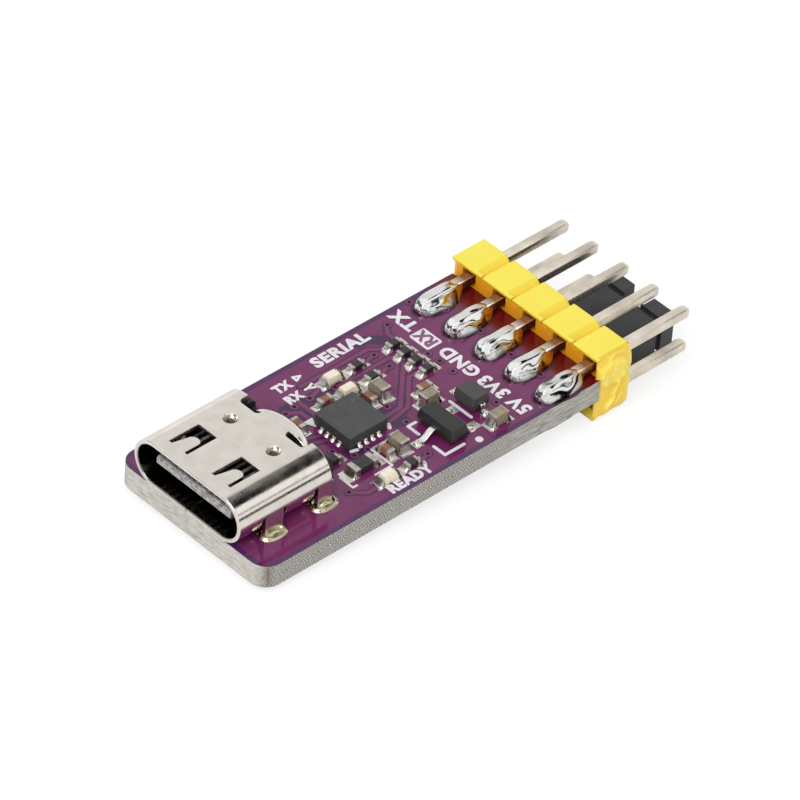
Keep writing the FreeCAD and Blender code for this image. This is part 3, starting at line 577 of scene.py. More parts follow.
# Strips and rings over darker, wider ones, and in each ring a dark disc that is painted shade for the via's
# hole
def makeTracks(look):
    raised = maskLook("trackMask", look["tone"], [value * 0.93 for value in look["tone"]])
    low = maskLook("gapMask", look["gapTone"], [value * 0.9 for value in look["gapTone"]])
    hole = maskLook("viaHole", (22, 6, 16), (12, 3, 9), gloss=0.9)
    gapHeight, viaHeight = look["gapHeight"], look["viaHeight"]
    gaps = lineParts(look["paths"], look["width"] + 2 * look["gap"], gapHeight)
    gaps += [plate(outline[::-1], gapHeight / 2) for outline in look["bare"]]
    gaps += discs(look["vias"], look["viaRing"] + look["viaGap"], gapHeight + 0.006)
    lines = lineParts(look["paths"], look["width"], look["height"])
    lines += discs(look["vias"], look["viaRing"], viaHeight)
    makePiece("track_gaps", gaps, low, smooth=False)
    makePiece("copper_tracks", lines, raised, smooth=False)
    makePiece("via_holes", discs(look["vias"], look["viaHole"], viaHeight + 0.003), hole, smooth=False)


makeTracks(tracks)

# White print: lines, arrows and words. A word's place is the middle of its baseline.
ink = {
    "height": 0.034, "tone": (240, 238, 242), "darker": (220, 218, 224), "bold": 0.058,
    "lines": [
        ([(-10.86, -2.2), (-11.45, -2.2), (-11.45, -3.1)], 0.2),
        ([(-11.5, -4.4), (-11.5, -5.35), (-10.0, -5.35)], 0.2),
        ([(-8.07, -2.1), (-8.07, -3.9)], 0.2),
        ([(-14.45, -2.35), (-14.45, -4.1), (-15.75, -4.1)], 0.14),
        ([(-17.5, -3.0), (-17.5, -4.1), (-17.2, -4.1)], 0.14),
        ([(-12.35, -1.6), (-12.2, -1.35)], 0.26), ([(-15.45, -1.75), (-15.1, -1.85)], 0.24),
        ([(-13.68, 4.82), (-13.68, 5.2), (-13.24, 5.02), (-13.68, 4.82)], 0.15),
        ([(-13.25, 3.72), (-13.6, 3.92), (-13.2, 4.08), (-13.6, 3.92), (-13.85, 3.92)], 0.16),
    ],
    "dots": [(-9.05, -5.6, 0.24)], "patches": [[(-15.95, 1.85), (-15.2, 1.85), (-15.55, 1.1)]],
    # word, baseline middle x and y, height of its capitals, turned to run along +Y, width share
    "words": [
        ("TX", -14.75, 4.62, 0.64, False, 0.9), ("RX", -14.85, 3.5, 0.64, False, 0.9),
        ("SERIAL", -9.9, 4.9, 0.8, False, 1.12), ("READY", -14.5, -5.9, 0.68, False, 0.98),
        ("TX", -4.8, 4.85, 0.88, True, 1.05), ("GND", -4.8, 0.1, 0.88, True, 0.98),
        ("3V3", -4.8, -2.75, 0.88, True, 0.98), ("5V", -4.8, -4.92, 0.88, True, 0.95),
    ],
    "box": (-5.35, 2.84, 1.2, 1.62), "boxWord": ("RX", -4.95, 2.84, 0.8, True, 0.86), "boxRound": 0.12,
}


# A word as a mesh, standing height mm over the board
def wordMesh(word, x, y, size, turned, wide, height, bold):
    curve = bpy.data.curves.new("word", "FONT")
    curve.body = word
    curve.align_x = "CENTER"
    curve.size = size * mm / 0.7
    curve.offset = bold * mm
    curve.extrude = 0.01 * mm
    curve.space_character = 1.12
    curve.resolution_u = 4
    holder = addObject("word", curve)
    bpy.context.view_layer.update()
    mesh = bpy.data.meshes.new_from_object(holder)
    bpy.data.objects.remove(holder)
    points = restPoints(mesh) * (wide, 1, 1)
    if turned:
        points = np.stack([-points[:, 1], points[:, 0], points[:, 2]], 1)
    faces = [tuple(face.vertices) for face in mesh.polygons]
    bpy.data.meshes.remove(mesh)
    return points + onBoard(x, y, height), faces


# A box with a quarter turn round each corner
def roundBox(x, y, length, width, radius):
    corners = []
    for quarter, (sx, sy) in enumerate(((1, 1), (-1, 1), (-1, -1), (1, -1))):
        turn = math.pi / 2 * (quarter + np.array([0, 0.33, 0.66, 1]))
        corners.append(np.stack([x + sx * (length / 2 - radius) + radius * np.cos(turn),
                                 y + sy * (width / 2 - radius) + radius * np.sin(turn)], 1))
    return np.concatenate(corners)


# The boxed word stands on its box in the mask's colour
def makePrint(look):
    white = plastic("whitePrint", look["tone"], look["darker"], 0.55, grain=0.12, bump=0.006, edge=0.01)
    height, bold = look["height"], look["bold"]
    parts = sum([lineParts([path], width, height) for path, width in look["lines"]], [])
    parts += sum([discs([(x, y)], radius, height) for x, y, radius in look["dots"]], [])
    parts += [plate(outline[::-1], height) for outline in look["patches"]]
    parts.append(plate(roundBox(*look["box"], look["boxRound"]), height))
    parts += [wordMesh(*word, height - 0.01, bold) for word in look["words"]]
    makePiece("white_print", parts, white, smooth=False)
    dark = maskLook("boxedWord", (146, 86, 122), (134, 79, 114))
    makePiece("boxed_word", [wordMesh(*look["boxWord"], height + 0.004, bold)], dark, smooth=False)


makePrint(ink)
print("tracks and print")

# Square pins with lightly rounded edges and a bullet tip
pinLook = {"tip": 0.55, "endShare": 0.34, "rows": 15, "columns": 32, "squareness": 7.0, "tipSquareness": 3.2}


# A square section with round corners is carried along the pin. Towards the tip it gets smaller and
# rounder, by a quarter of a sine wave.
def makePins(look):
    turn = np.linspace(0, fullTurn, look["columns"], endpoint=False)
    rise = np.sin(np.linspace(0, 1, look["rows"]) * math.pi / 2)
    rows = look["rows"] + 1
    for name in sorted(nodes):
        if "_pin_" not in name or "solder" in name:
            continue
        low, high = boxCorners(name)
        middle, half = (low + high) / 2, (high - low)[1] / 2
        xs = np.concatenate([[low[0]], high[0] - look["tip"] * mm * (1 - rise)])[:, None]
        shares = np.concatenate([[1], 1 - (1 - look["endShare"]) * (1 - np.sqrt(1 - rise ** 4))])[:, None]
        power = 2 / np.interp(shares, [look["endShare"], 1], [look["tipSquareness"], look["squareness"]])
        across = middle[1] + squared(np.cos(turn), power) * shares * half
        upward = middle[2] + squared(np.sin(turn), power) * shares * half
        points = np.stack(np.broadcast_arrays(xs, across, upward), -1).reshape(-1, 3)
        faces = gridFaces(rows, look["columns"], wrap=True).tolist()
        faces.append(list(range((rows - 1) * look["columns"], rows * look["columns"])))
        faces.append(list(range(look["columns"]))[::-1])
        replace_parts(makePiece(name + "_metal", [(points, faces)], pinMetal), name)


makePins(pinLook)

# The near cell was torn from its strip: a rough face with ridges, over the flat cut
torn = {"x": (-0.2, 2.33), "z": (-2.24, 2.24), "rows": 100, "columns": 130, "depth": 0.26, "seed": 4,
        "turnAt": 0.9, "corner": 0.19, "cut": (0.01, 0.77), "hollowShadeTone": (255, 204, 58),
        "blob": (0.38, 0.71), "blobSize": (0.42, 0.17), "crest": 0.44, "nextCrest": 0.24, "brow": 0.95}


# Random heights on grids that double each time, blended smoothly and added with falling weight
def roughness(u, v, seed, octaves=5):
    random = np.random.default_rng(seed)
    relief = np.zeros_like(u)
    for octave in range(octaves):
        count = 3 * 2 ** octave
        field = random.uniform(0, 1, (count + 2, count + 2))
        i, j = u * count, v * count * 0.999
        a, b = np.floor(i).astype(int), np.floor(j).astype(int)
        f, g = smoothStep(i - a), smoothStep(j - b)
        low = field[a, b] * (1 - f) + field[a + 1, b] * f
        high = field[a, b + 1] * (1 - f) + field[a + 1, b + 1] * f
        relief += (low * (1 - g) + high * g) / 1.7 ** octave
    return relief / relief.max()


# u runs along the housing's near face and v up it; the face stands out by out times depth
def makeTornEnd(look, material):
    low, high = boxCorners("header_housing")
    u, v = gridOf(look["columns"], look["rows"])
    relief = roughness(u, v, look["seed"])
    # A blob that stood out as the plastic gave way, and the crests that run down from it
    centre, reach = look["blob"], look["blobSize"]
    fromBlob = ((u - centre[0]) / reach[0]) ** 2 + ((v - centre[1]) / reach[1]) ** 2
    blob = 1 / (1 + np.exp(7 * (fromBlob - 0.9 - 0.5 * relief)))
    crest = look["crest"] - 0.14 * np.cos(7 * v) + 0.04 * np.sin(31 * v)
    crests = bell(u - crest, 0.05) * held((0.62 - v) / 0.1)
    crests += 0.6 * bell(u - crest - look["nextCrest"], 0.04) * held((0.55 - v) / 0.2)
    crests = crests * held(v / 0.14)
    brow = bell(v - look["brow"] + 0.04 * np.sin(9 * u), 0.03)
    out = 0.3 * relief + 0.9 * blob * (0.6 + 0.6 * relief) + 0.6 * crests * (0.4 + relief) + 0.2 * brow + 0.1
    across = look["x"][0] + u / look["turnAt"] * (look["x"][1] - look["x"][0])
    upward = look["z"][0] + v * (look["z"][1] - look["z"][0])
    # It falls back to the flat cut at its top, its bottom and round the board's corner
    besideBoard = np.maximum(across - look["cut"][0], np.abs(upward) - look["cut"][1])
    fromEnds = np.minimum(v, 1 - v)
    out = out * held(np.minimum(u / 0.05, fromEnds / 0.03)) ** 0.6 * held(besideBoard / 0.3) ** 0.5
    # Past turnAt it runs round the housing's front corner, with a wavy radius, and ends inside the housing
    radius = look["corner"] + 0.1 * (relief[-1] - 0.5) + 0.03 * np.sin(19 * v[0])
    near = smoothStep(held((u - look["turnAt"] + 0.2) / 0.2))
    stand = out * look["depth"] * 1.6 * (1 - near) + radius * near * held(fromEnds / 0.13) ** 0.5
    bend = held((u - look["turnAt"]) / (1 - look["turnAt"])) * 2.2
    along = np.minimum(across, look["x"][1]) + stand * np.sin(bend)
    back = 0.12 - stand * np.cos(bend)
    along[-1], back[-1] = look["x"][1] + 0.1, 0.34
    x, y, z = boardHigh[0] + along * mm, low[1] + back * mm, (low[2] + high[2]) / 2 + upward * mm
    points = np.stack([x, y, z], -1).reshape(-1, 3)
    # The lip is only as tall as the housing's two edges, so the patch is open beside the board
    faces = gridFaces(look["columns"], look["rows"])
    hidden = besideBoard.reshape(-1)[faces].max(1) <= 0
    makePiece("torn_end", [(points, faces[~hidden])], material)
    tree = material.node_tree
    # Painted shade: the torn face is painted a deeper orange where it lies deep, paler on the crests
    hollow = remap(tree, splitPlace(tree)[1], low[1] - 0.22 * mm, low[1] + 0.08 * mm, 0, 0.75)
    overTone(material, times(tree, hollow, alongBoard(material, 2.35, 2.1)), look["hollowShadeTone"])


makeTornEnd(torn, tornPlastic)
print("pins and the header's torn end")

# Solder along each pin's tail: a ridge as wide as the pin, hollow flanks and a round blunt end
pinJoint = {
    "start": -4.2, "end": -0.75, "ridge": 0.3, "foot": 0.86, "crown": 0.9, "rows": 72, "columns": 61,
    "wave": 0.15, "neck": 0.36, "seeds": (1, 2, 3, 4, 2), "lowerSeeds": (8, 9, 10, 11, 9),
    "flux": 0.2, "fluxTone": (58, 26, 44), "fluxDarker": (70, 38, 58),
}


# Height share over the board at each place: u runs along the tail, v from -1 to 1 across it
def jointShape(look, u, v, seed):
    random = np.random.default_rng(seed)
    phase = random.uniform(0, fullTurn, 8)
    size = random.uniform(0.6, 1.0, 8)
    # Blunt at the tail's end, drawn in to the pin's width at the header's end
    blunt = held(u / (0.14 + 0.1 * size[5]))
    along = np.sqrt(1 - (1 - blunt) ** 2) * (1 - 0.25 * held((u - 0.7) / 0.3) ** 1.5)
    close = np.sqrt(1 - held((u - 0.62) / 0.38) ** 2)
    widen = np.sqrt(1 - (1 - held(u / 0.3)) ** 2) * (look["neck"] + (1 - look["neck"]) * close)
    widen = widen * (1 + 0.05 * np.sin(9 * u + phase[4]) * size[4])
    # The pin's flat top keeps its width while the flanks swell beside it
    ridge = look["ridge"] / look["foot"] / np.maximum(widen, 0.2)
    away = held((np.abs(v) - ridge * 0.8) / np.maximum(1 - ridge * 0.8, 0.15))
    flank = (1 - away ** 1.5) ** 1.05
    waves = np.sin(7 * u + phase[0] + 3 * v) * size[0] + np.sin(13 * u + phase[1] - 4 * v) * size[1] * 0.5
    waves += np.sin(4 * u + 7 * v + phase[2]) * size[2] * 0.6
    return flank * along * (1 + look["wave"] * waves * (0.2 + away)), widen


# A pin's place across the board, in mm from its centre line
def pinMiddle(row, number):
    low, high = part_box("%s_pin_%d" % (row, number))
    return ((low[1] + high[1]) / 2 - boardMiddleY) / mm


# One row of joints; the bottom row hangs from the board's underside
def makePinSolder(look, row, seeds, material):
    u, v = gridOf(look["rows"], look["columns"], second=(-1, 1))
    x = look["start"] + u * (look["end"] - look["start"])
    faces = gridFaces(look["rows"], look["columns"])
    parts = []
    for number, seed in enumerate(seeds, 1):
        height, width = jointShape(look, u, v, seed)
        y = pinMiddle(row, number) + v * width * look["foot"]
        up = height * look["crown"] - 0.01
        if row == "bottom":
            parts.append((boardPoints(x, y, (boardLow[2] - boardTop) / mm - up), faces[:, ::-1]))
        else:
            parts.append((boardPoints(x, y, up), faces))
    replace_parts(makePiece(row + "_joints", parts, material), row + "_pin_solder")


# Wavy ovals of flux on the board round the upper row
def makeFluxStains(look):
    turn = np.linspace(0, fullTurn, 40, endpoint=False)
    reach, side = (look["end"] - look["start"]) / 2 + look["flux"], look["foot"] + look["flux"]
    x = (look["start"] + look["end"]) / 2 + reach * np.cos(turn)
    parts = []
    for number in range(1, 6):
        y = pinMiddle("top", number) + side * np.sin(turn) * (1 + 0.06 * np.sin(3 * turn + number))
        parts.append(plate(np.stack([x, y], 1)[x < 0], 0.008))
    stain = maskLook("fluxStain", look["fluxTone"], look["fluxDarker"], gloss=0.16)
    makePiece("flux_stains", parts, stain, smooth=False)


solderMetal = metal("solderMetal", (238, 238, 236), 0.05, grain=0.5, patch=0.05, vary=0.05, edge=0.02)
solderShade = {"foot": (0.2, 0.02), "reflectionStreaks": (0.56, 0.66), "share": 0.75, "tone": (52, 48, 46),
               "headerSpan": (-2.1, -1.0), "headerShare": 0.8, "headerTone": (168, 112, 60)}


# Painted reflections on the solder: dark where it turns down to the board, dark streaks over it, and brown
# where it mirrors the yellow header
def darkenSolder(material, look):
    tree = material.node_tree
    level = splitPlace(tree)[2]
    height = doMath(tree, "MAXIMUM", doMath(tree, "SUBTRACT", level, float(boardTop)),
                    doMath(tree, "SUBTRACT", float(boardLow[2]), level))
    foot = remap(tree, height, *(value * mm for value in look["foot"]))
    reflectionStreaks = remap(tree, noise(tree, 0.42, detail=2, stretch=(4, 1, 1)), *look["reflectionStreaks"])
    overTone(material, times(tree, doMath(tree, "MAXIMUM", foot, reflectionStreaks), look["share"]), look["tone"])
    mirrored = times(tree, alongBoard(material, *look["headerSpan"]), look["headerShare"])
    overTone(material, mirrored, look["headerTone"])


darkenSolder(solderMetal, solderShade)
makePinSolder(pinJoint, "top", pinJoint["seeds"], solderMetal)
makePinSolder(pinJoint, "bottom", pinJoint["lowerSeeds"], solderMetal)
makeFluxStains(pinJoint)
print("solder on the pins")

# Solder at the ends of the small parts: a drop that climbs the terminal and runs out on the pad
bead = {"reach": 0.32, "climb": 0.72, "fullClimb": 0.88, "rows": 12, "columns": 15, "side": 0.06,
        "padEnd": 0.05, "padSide": 0.08, "padInside": 0.25, "padHeight": 0.012}


# Puts along and across in x, y order
def inPlan(direction, along, across):
    return (along, across) if direction == "x" else (across, along)


# side is +1 or -1 along the part, half its half length, width and rise its size, all in mm
def beadGrid(look, place, direction, side, half, width, rise):
    s, t = gridOf(look["rows"], look["columns"], second=(-1, 1))
    out = half - 0.02 + s * look["reach"] * np.sqrt(1 - 0.35 * t ** 2)
    across = t * (width / 2 + look["side"] * s)
    up = rise * ((1 - s) ** 2.2) * (1 - 0.25 * t ** 4) + 0.05 * (1 - s ** 2) * (1 - t ** 6)
    x, y = inPlan(direction, side * out, across)
    faces = gridFaces(look["rows"], look["columns"])
    return (boardPoints(place[0] + x, place[1] + y, up - 0.004),
            faces if (side > 0) == (direction == "x") else faces[:, ::-1])


# Two drops and two flat pads for each small part
def makeBeads(look, material):
    parts, pads = [], []
    for name in sorted(nodes):
        kind = chipKind(name)
        if not kind:
            continue
        middle, size, direction = partBox(name)
        length, width = inPlan(direction, *size[:2])
        rise = size[2] * look["fullClimb" if kind in ("fuse", "led") else "climb"]
        outer, inner = length / 2 + look["reach"] + look["padEnd"], length / 2 - look["padInside"]
        half = width / 2 + look["padSide"]
        for side in (-1, 1):
            parts.append(beadGrid(look, middle, direction, side, length / 2, width, rise))
            ends = [(side * outer, -half), (side * outer, half), (side * inner, half), (side * inner, -half)]
            outline = [middle[:2] + inPlan(direction, *end) for end in ends]
            if (side > 0) != (direction == "x"):
                outline = outline[::-1]
            pads.append(plate(outline, look["padHeight"]))
    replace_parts(makePiece("part_beads", parts, material), "chip_solder")
    makePiece("part_pads", pads, material, smooth=False)


# Gold ends of the contacts along the tongue's front, in an upper and a lower row
tongueFront = {"pitch": 0.5, "count": 12, "size": (0.06, 0.13, 0.07), "rise": 0.17, "shift": 0.25}


# A box about its centre, with its size in mm
def boxPart(centre, size):
    signs = np.array([(x, y, z) for x in (-1, 1) for y in (-1, 1) for z in (-1, 1)]) / 2
    faces = [(0, 1, 3, 2), (4, 6, 7, 5), (0, 4, 5, 1), (2, 3, 7, 6), (0, 2, 6, 4), (1, 5, 7, 3)]
    return np.asarray(centre) + signs * np.asarray(size) * mm, faces


# Small boxes at the contacts' pitch, the lower ones shifted by half of it
def makeTongueFront(look, material):
    low, high = boxCorners("usb_tongue")
    middle = (low + high) / 2
    dots = []
    for index in range(look["count"]):
        y = middle[1] + (index - (look["count"] - 1) / 2) * look["pitch"] * mm
        for shift, up in ((0, look["rise"]), (look["shift"], -look["rise"] * 0.4)):
            dots.append(boxPart((low[0] - 0.01 * mm, y + shift * mm, middle[2] + up * mm), look["size"]))
    makePiece("contact_tips", dots, material, smooth=False)


makeTongueFront(tongueFront, brightGold)

# Solder at each of the chip's leads, and the round mark of its first pin
leadBead = {"out": 0.24, "width": 0.12, "rise": 0.15, "rows": 9, "columns": 11, "pitch": 0.5, "perSide": 4,
            "pin1": (0.95, 0.95, 0.13), "markHeight": 0.004}


# Turns along and across by quarter turns about a place
def quarterTurned(place, quarters, along, across):
    c, s = ((1, 0), (0, 1), (-1, 0), (0, -1))[quarters]
    return place[0] + c * along - s * across, place[1] + s * along + c * across


# Each drop falls away from the package and narrows in height to its sides
def makeChipBeads(look, material):
    middle, size, _ = partBox("serial_chip_pads")
    s, t = gridOf(look["rows"], look["columns"], second=(-1, 1))
    out = size[0] / 2 - 0.02 + s * look["out"] * np.sqrt(1 - 0.4 * t ** 2)
    up = look["rise"] * (1 - s ** 1.4) * (1 - 0.45 * t ** 2) + 0.003
    faces = gridFaces(look["rows"], look["columns"])
    parts = []
    for quarters in range(4):
        for index in range(look["perSide"]):
            across = (index - (look["perSide"] - 1) / 2) * look["pitch"] + t * look["width"] * (1 + 0.15 * s)
            parts.append((boardPoints(*quarterTurned(middle, quarters, out, across), up), faces))
    makePiece("chip_lead_beads", parts, material)
    top = (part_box("serial_chip")[1][2] - boardTop) / mm
    x, y, radius = look["pin1"]
    mark = plastic("pinMark", (92, 92, 94), (80, 80, 82), 0.5, grain=0.05)
    dot = plate(ring(middle[0] + x, middle[1] + y, radius), look["markHeight"], top=top)
    makePiece("chip_pin_mark", [dot], mark, smooth=False)


beadMetal = metal("beadMetal", (228, 224, 216), 0.24, grain=0.25, bump=0.012, patch=0.1, vary=0.1, edge=0.02)
leadMetal = metal("leadMetal", (238, 236, 230), 0.12, grain=0.3, bump=0.004, patch=0.08, vary=0.08, edge=0.02)

# Bent leads: where each leaves its body, quarter turns, reach and width
leads = {
    "regulator_leads": [((-10.8, -3.65), 2, 1.3, 0.42), ((-9.5, -2.7), 0, 0.8, 0.42),
                        ((-9.5, -4.6), 0, 0.8, 0.42)],
    "diode_leads": [((-7.2, -2.1), 1, 0.45, 0.35), ((-7.2, -3.8), 3, 0.45, 0.35)],
}
leadShape = {"root": 0.15, "thick": 0.13, "foot": 0.3, "rows": 40, "columns": 16,
             "mound": (0.34, 0.3, 0.16), "moundRows": 10, "moundColumns": 28}


# A strip that leaves the body level, swings down by half a cosine wave and lies flat on its pad
def leadStrip(shape, place, quarters, reach, width, exitUp):
    rows, columns, half = shape["rows"], shape["columns"], shape["thick"] / 2
    out = np.linspace(-shape["root"], reach, rows)
    bend = held((out - 0.1) / max(reach - shape["foot"] - 0.1, 0.1))
    up = half + 0.01 + (exitUp - half) * (1 + np.cos(math.pi * bend)) / 2
    slope = np.arctan2(np.gradient(up), np.gradient(out))[:, None]
    around = np.linspace(0, fullTurn, columns, endpoint=False) + 0.2
    side, over = squared(np.cos(around), 0.35) * width / 2, squared(np.sin(around), 0.5) * half
    x, y = quarterTurned(place, quarters, out[:, None] - np.sin(slope) * over, side)
    faces = gridFaces(rows, columns, wrap=True)[:, ::-1].tolist()
    faces.append(list(range((rows - 1) * columns, rows * columns))[::-1])
    return boardPoints(x, y, up[:, None] + np.cos(slope) * over), faces


# A low, slightly wavy oval dome of solder over the lead's foot
def leadMound(shape, place, quarters, reach):
    rows, columns = shape["moundRows"], shape["moundColumns"]
    long, wide, rise = shape["mound"]
    r, turn = gridOf(rows, columns, (0.01, 1), (0, fullTurn), closed=True)
    out = reach - 0.08 + r * long * np.cos(turn) * 0.9
    x, y = quarterTurned(place, quarters, out, r * wide * np.sin(turn))
    up = rise * np.sqrt(1 - r ** 2) * (1 + 0.1 * np.sin(3 * turn + place[0])) - 0.01
    return boardPoints(x, y, up), gridFaces(rows, columns, wrap=True)


# Strips and mounds for the leads of each package
def makeLeads(look, shape, material):
    for name, places in look.items():
        exitUp = (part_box(name)[1][2] - boardTop) / mm - shape["thick"] / 2
        strips = [leadStrip(shape, *lead, exitUp) for lead in places]
        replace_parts(makePiece(name + "_bent", strips, material), name)
        makePiece(name + "_solder", [leadMound(shape, *lead[:3]) for lead in places], material)


makeLeads(leads, leadShape, leadMetal)
makeChipBeads(leadBead, beadMetal)

# Bare tinned pads beside the regulator, the diode and the fuse, and behind the socket: middle and size
openPads = [
    (-8.55, -2.75, 0.85, 0.62), (-8.55, -4.5, 0.85, 0.66), (-12.1, -3.65, 0.6, 0.62),
    (-7.2, -1.72, 0.62, 0.62), (-7.2, -4.15, 0.62, 0.6),
    (-17.05, -3.2, 0.75, 1.05), (-14.85, -3.2, 0.75, 1.05),
]
socketPads = [(-18.2, 0.33 + 0.5 * (index - 5.5), 0.95, 0.3) for index in range(12)]


# A flat oblong at each place
def makeOpenPads(places, material, height=0.02):
    parts = [plate([(x + sx * length / 2, y + sy * width / 2) for sx, sy in squareSigns], height)
             for x, y, length, width in places]
    makePiece("hiddenpads", parts, material, smooth=False)


makeOpenPads(openPads + socketPads, beadMetal)
makeBeads(bead, beadMetal)
print("solder on the small parts")

# Ring of solder round each of the socket's four legs, on both faces of the board
legRing = {"legs": (2.675, 6.555), "wall": 0.28, "halfLength": 0.98, "halfWidth": 0.68, "rise": 0.26,
           "rows": 16, "columns": 48, "tone": (206, 198, 168)}


# An oval that falls from the leg to a shallow valley, rises to a round lip and ends on the board
def makeLegSolder(look):
    lead = metal("legSolder", look["tone"], 0.14, grain=0.6, bump=0.02, vary=0.16)
    middle, size, _ = partBox("usb_shell")
    s, turn = gridOf(look["rows"], look["columns"], (0.02, 1), (0, fullTurn), closed=True)
    flat = look["halfLength"] - look["halfWidth"]
    along = s * (flat * np.tanh(3 * np.cos(turn)) + look["halfWidth"] * np.cos(turn))
    across = s * look["halfWidth"] * np.sin(turn)
    lip = bell(s - 0.8, 0.14) + 1.2 * bell(s, 0.3) + 0.35 * (1 - s)
    under = (boardLow[2] - boardTop) / mm
    faces = gridFaces(look["rows"], look["columns"], wrap=True)
    parts = []
    for leg in look["legs"]:
        x = middle[0] - size[0] / 2 + leg
        up = look["rise"] * lip * np.sqrt(1 - s ** 2) * (1 + 0.15 * np.sin(2 * turn + x)) - 0.01
        for side in (-1, 1):
            y = middle[1] + side * (size[1] - look["wall"]) / 2
            parts.append((boardPoints(x + along, y + across, up), faces))
            parts.append((boardPoints(x + along, y + across, under - up), faces[:, ::-1]))
    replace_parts(makePiece("leg_rings", parts, lead), "shell_solder")


makeLegSolder(legRing)
print("solder round the legs")

# The roof's rear tab: a round-ended flap drawn down all along its rim. Its neck lies flush on the roof.
rearTab = {"centre": (-19.62, -0.05), "length": 1.04, "width": 2.22, "drop": 0.62, "flat": 0.5, "thick": 0.16,
           "neck": 1.11, "rows": 27, "columns": 61}


# Half an oval, level in the middle and drawn down by a quarter circle to its rim: an outer sheet, an inner
# sheet, and faces that join them along the rim and at the two ends
def makeRearTab(look, material):
    rows, columns = look["rows"], look["columns"]
    r, turn = gridOf(rows, columns, second=(-math.pi / 2, math.pi / 2))
    bend = held((r - look["flat"]) / (1 - look["flat"]))
    roof = (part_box("usb_shell")[1][2] - boardTop) / mm + 0.002
    sheets = []
    for inset in (0, look["thick"]):
        x = look["centre"][0] + (look["length"] - inset) * r * np.cos(turn)
        y = look["centre"][1] + (look["width"] - inset) * r * np.sin(turn)
        sheets.append(boardPoints(x, y, roof - inset - (look["drop"] - inset) * (1 - np.sqrt(1 - bend ** 2))))
    under = rows * columns
    faces = gridFaces(rows, columns)
    edge = (rows - 1) * columns + np.arange(columns - 1)
    rim = np.stack([edge + 1, edge, edge + under, edge + 1 + under], 1)
    row = np.arange(rows - 1)
    row = row[row / (rows - 1) * look["width"] > look["neck"]]
    left, right = row * columns, row * columns + columns - 1
    ends = [np.stack([left + columns, left, left + under, left + columns + under], 1),
            np.stack([right, right + columns, right + columns + under, right + under], 1)]
    everyFace = np.concatenate([faces[:, ::-1], faces + under, rim] + ends)
    makePiece("rear_tab", [(np.concatenate(sheets), everyFace)], material)


makeRearTab(rearTab, steel)

camera = {"azimuth": -45.714, "elevation": 40.434, "roll": 4.258, "distance": 0.44520, "focal": 7644,
          "aim": (0.001978, 0.002963, -0.000539), "sensor": 36, "picture": 800}


# The camera looks along the photograph's line: back points from the aim to the camera
def makeCamera(view):
    turn, lift, roll = (math.radians(view[k]) for k in ("azimuth", "elevation", "roll"))
    back = Vector((math.sin(turn) * math.cos(lift), -math.cos(turn) * math.cos(lift), math.sin(lift)))
    right = Vector((math.cos(turn), math.sin(turn), 0))
    up = back.cross(right)
    right, up = right * math.cos(roll) + up * math.sin(roll), up * math.cos(roll) - right * math.sin(roll)
    place = Matrix((right, up, back)).transposed().to_4x4()
    place.translation = Vector(view["aim"]) + back * view["distance"]
    data = bpy.data.cameras.new("photoCamera")
    data.sensor_width = view["sensor"]
    data.lens = view["sensor"] * view["focal"] / view["picture"]
    data.clip_start, data.clip_end = 0.01, 10
    item = addObject("photoCamera", data)
    item.matrix_world = place
    bpy.context.scene.camera = item


makeCamera(camera)

studio = {"skyLevel": 0.72, "keyPower": 1.4, "keySize": 0.35, "keyPlace": (-0.38, -0.12, 0.42),
          "floorShade": 0.3, "floorGlow": 0.76, "floorSize": 3.0, "floorBounce": 0.9}


# The camera sees a shade plus a glow; every other ray meets plain pale grey
def floorMaterial(setup):
    material, tree, shader = startMaterial("floorWhite")
    tree.nodes.remove(shader)
    matt, plain = (addNode(tree, "ShaderNodeBsdfDiffuse") for _ in range(2))
    matt.inputs["Color"].default_value = (setup["floorShade"],) * 3 + (1,)
    plain.inputs["Color"].default_value = (setup["floorBounce"],) * 3 + (1,)
    glow = addNode(tree, "ShaderNodeEmission")
    glow.inputs["Strength"].default_value = setup["floorGlow"]
    both, pick = addNode(tree, "ShaderNodeAddShader"), addNode(tree, "ShaderNodeMixShader")
    seen = addNode(tree, "ShaderNodeLightPath").outputs["Is Camera Ray"]
    surface = tree.nodes["Material Output"].inputs["Surface"]
    for start, end in ((matt.outputs[0], both.inputs[0]), (glow.outputs[0], both.inputs[1]),
                       (seen, pick.inputs[0]), (plain.outputs[0], pick.inputs[1]),
                       (both.outputs[0], pick.inputs[2]), (pick.outputs[0], surface)):
        tree.links.new(start, end)
    return material


# A pale floor: it touches the jumper's near lower edge and turns about it until it meets the lowest
# point at the socket's end
def makeFloor(setup):
    pivot = restPoints(nodes["jumper_cap"].data).min(0)
    points = np.concatenate([restPoints(item.data) for item in bpy.data.objects if item.type == "MESH"])
    points = points[points[:, 0] < pivot[0] - 1 * mm]
    slope = -((points[:, 2] - pivot[2]) / (pivot[0] - points[:, 0])).min()
    x, y = np.array(squareSigns).T * setup["floorSize"]
    corners = np.stack([x, y, pivot[2] + (x - pivot[0]) * slope], 1)
    meshObject("floor", corners, [(0, 1, 2, 3)], floorMaterial(setup))


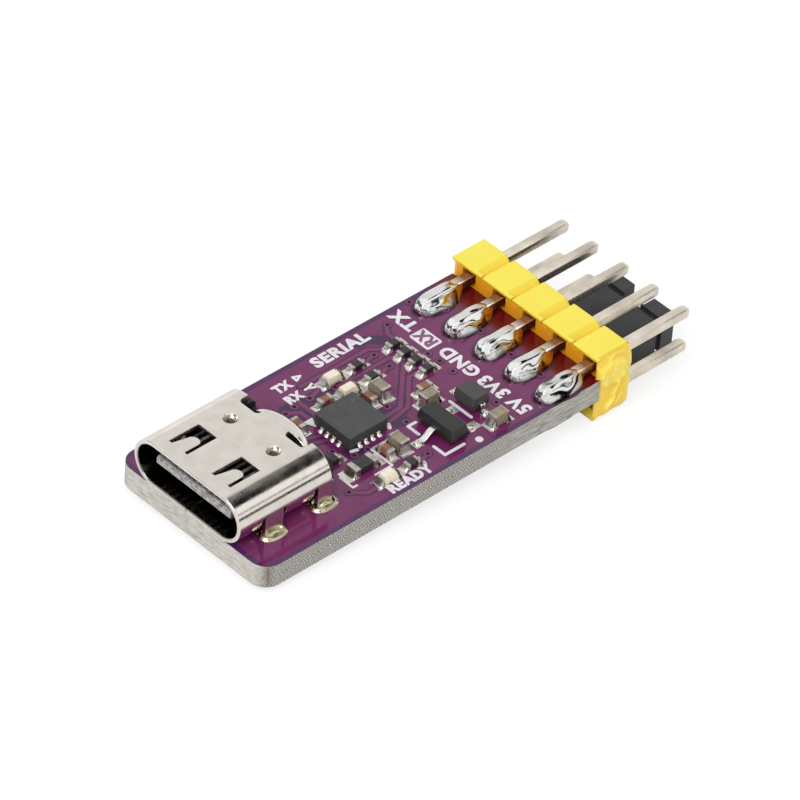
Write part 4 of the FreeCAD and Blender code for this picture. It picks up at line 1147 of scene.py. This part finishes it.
# White where the camera, gloss and glass look; a plain level of light for everything else
def makeSky(setup):
    world = bpy.data.worlds.new("studio")
    bpy.context.scene.world = world
    world.use_nodes = True
    tree = world.node_tree
    background = tree.nodes["Background"]
    background.inputs["Color"].default_value = (1, 1, 1, 1)
    path = addNode(tree, "ShaderNodeLightPath").outputs
    mirrored = doMath(tree, "MAXIMUM", path["Is Glossy Ray"], path["Is Transmission Ray"])
    seen = doMath(tree, "MAXIMUM", path["Is Camera Ray"], mirrored)
    feed(tree, background.inputs["Strength"], remap(tree, seen, 0, 1, setup["skyLevel"], 1))


# A square lamp that faces the part
def makeKey(setup):
    data = bpy.data.lights.new("softbox", "AREA")
    data.energy = setup["keyPower"]
    data.shape = "SQUARE"
    data.size = setup["keySize"]
    item = addObject("softbox", data)
    item.location = setup["keyPlace"]
    item.rotation_euler = Vector(setup["keyPlace"]).to_track_quat("Z", "Y").to_euler()


# Panels round the set that only gloss sees: a grey one over the roof's mirror line and dark ones that
# give bare metal its bands. Each has a direction from the part, a distance, a size and a level.
panels = {
    "greyPanel": ((0.545, 0.56, 0.62), 0.5, (0.62, 0.42), 0.82),
    "ridgePanel": ((0.545, -0.1, 0.83), 0.45, (0.4, 0.12), 0.0),
    "horizonPanel": ((0.55, -0.83, 0.06), 0.55, (0.9, 0.09), 0.0),
    "cameraPanel": ((-0.6, -0.45, 0.66), 0.6, (0.5, 0.24), 0.4),
    "farPanel": ((-0.5, 0.75, 0.42), 0.5, (0.5, 0.16), 0.15),
    "leftPanel": ((-0.95, 0.25, 0.3), 0.5, (0.34, 0.2), 0.1),
    "slitPanel": ((0.62, -0.66, 0.36), 0.5, (0.5, 0.035), 0.05),
}


def makePanel(name, direction, distance, size, level):
    toward = Vector(direction).normalized()
    turn = toward.to_track_quat("Z", "Y")
    corners = [turn @ Vector((sx * size[0] / 2, sy * size[1] / 2, 0)) + toward * distance
               for sx, sy in squareSigns]
    material, tree, shader = startMaterial(name)
    shader.inputs["Base Color"].default_value = (0, 0, 0, 1)
    shader.inputs["Specular IOR Level"].default_value = 0
    shader.inputs["Emission Color"].default_value = (1, 1, 1, 1)
    shader.inputs["Emission Strength"].default_value = level
    item = meshObject(name, [tuple(corner) for corner in corners], [(0, 1, 2, 3)], material)
    for ray in ("camera", "diffuse", "transmission", "volume_scatter", "shadow"):
        setattr(item, "visible_" + ray, False)


makeFloor(studio)
for name, values in panels.items():
    makePanel(name, *values)
makeSky(studio)
makeKey(studio)
bpy.context.scene.view_settings.view_transform = "Standard"
print("camera, floor and lights")
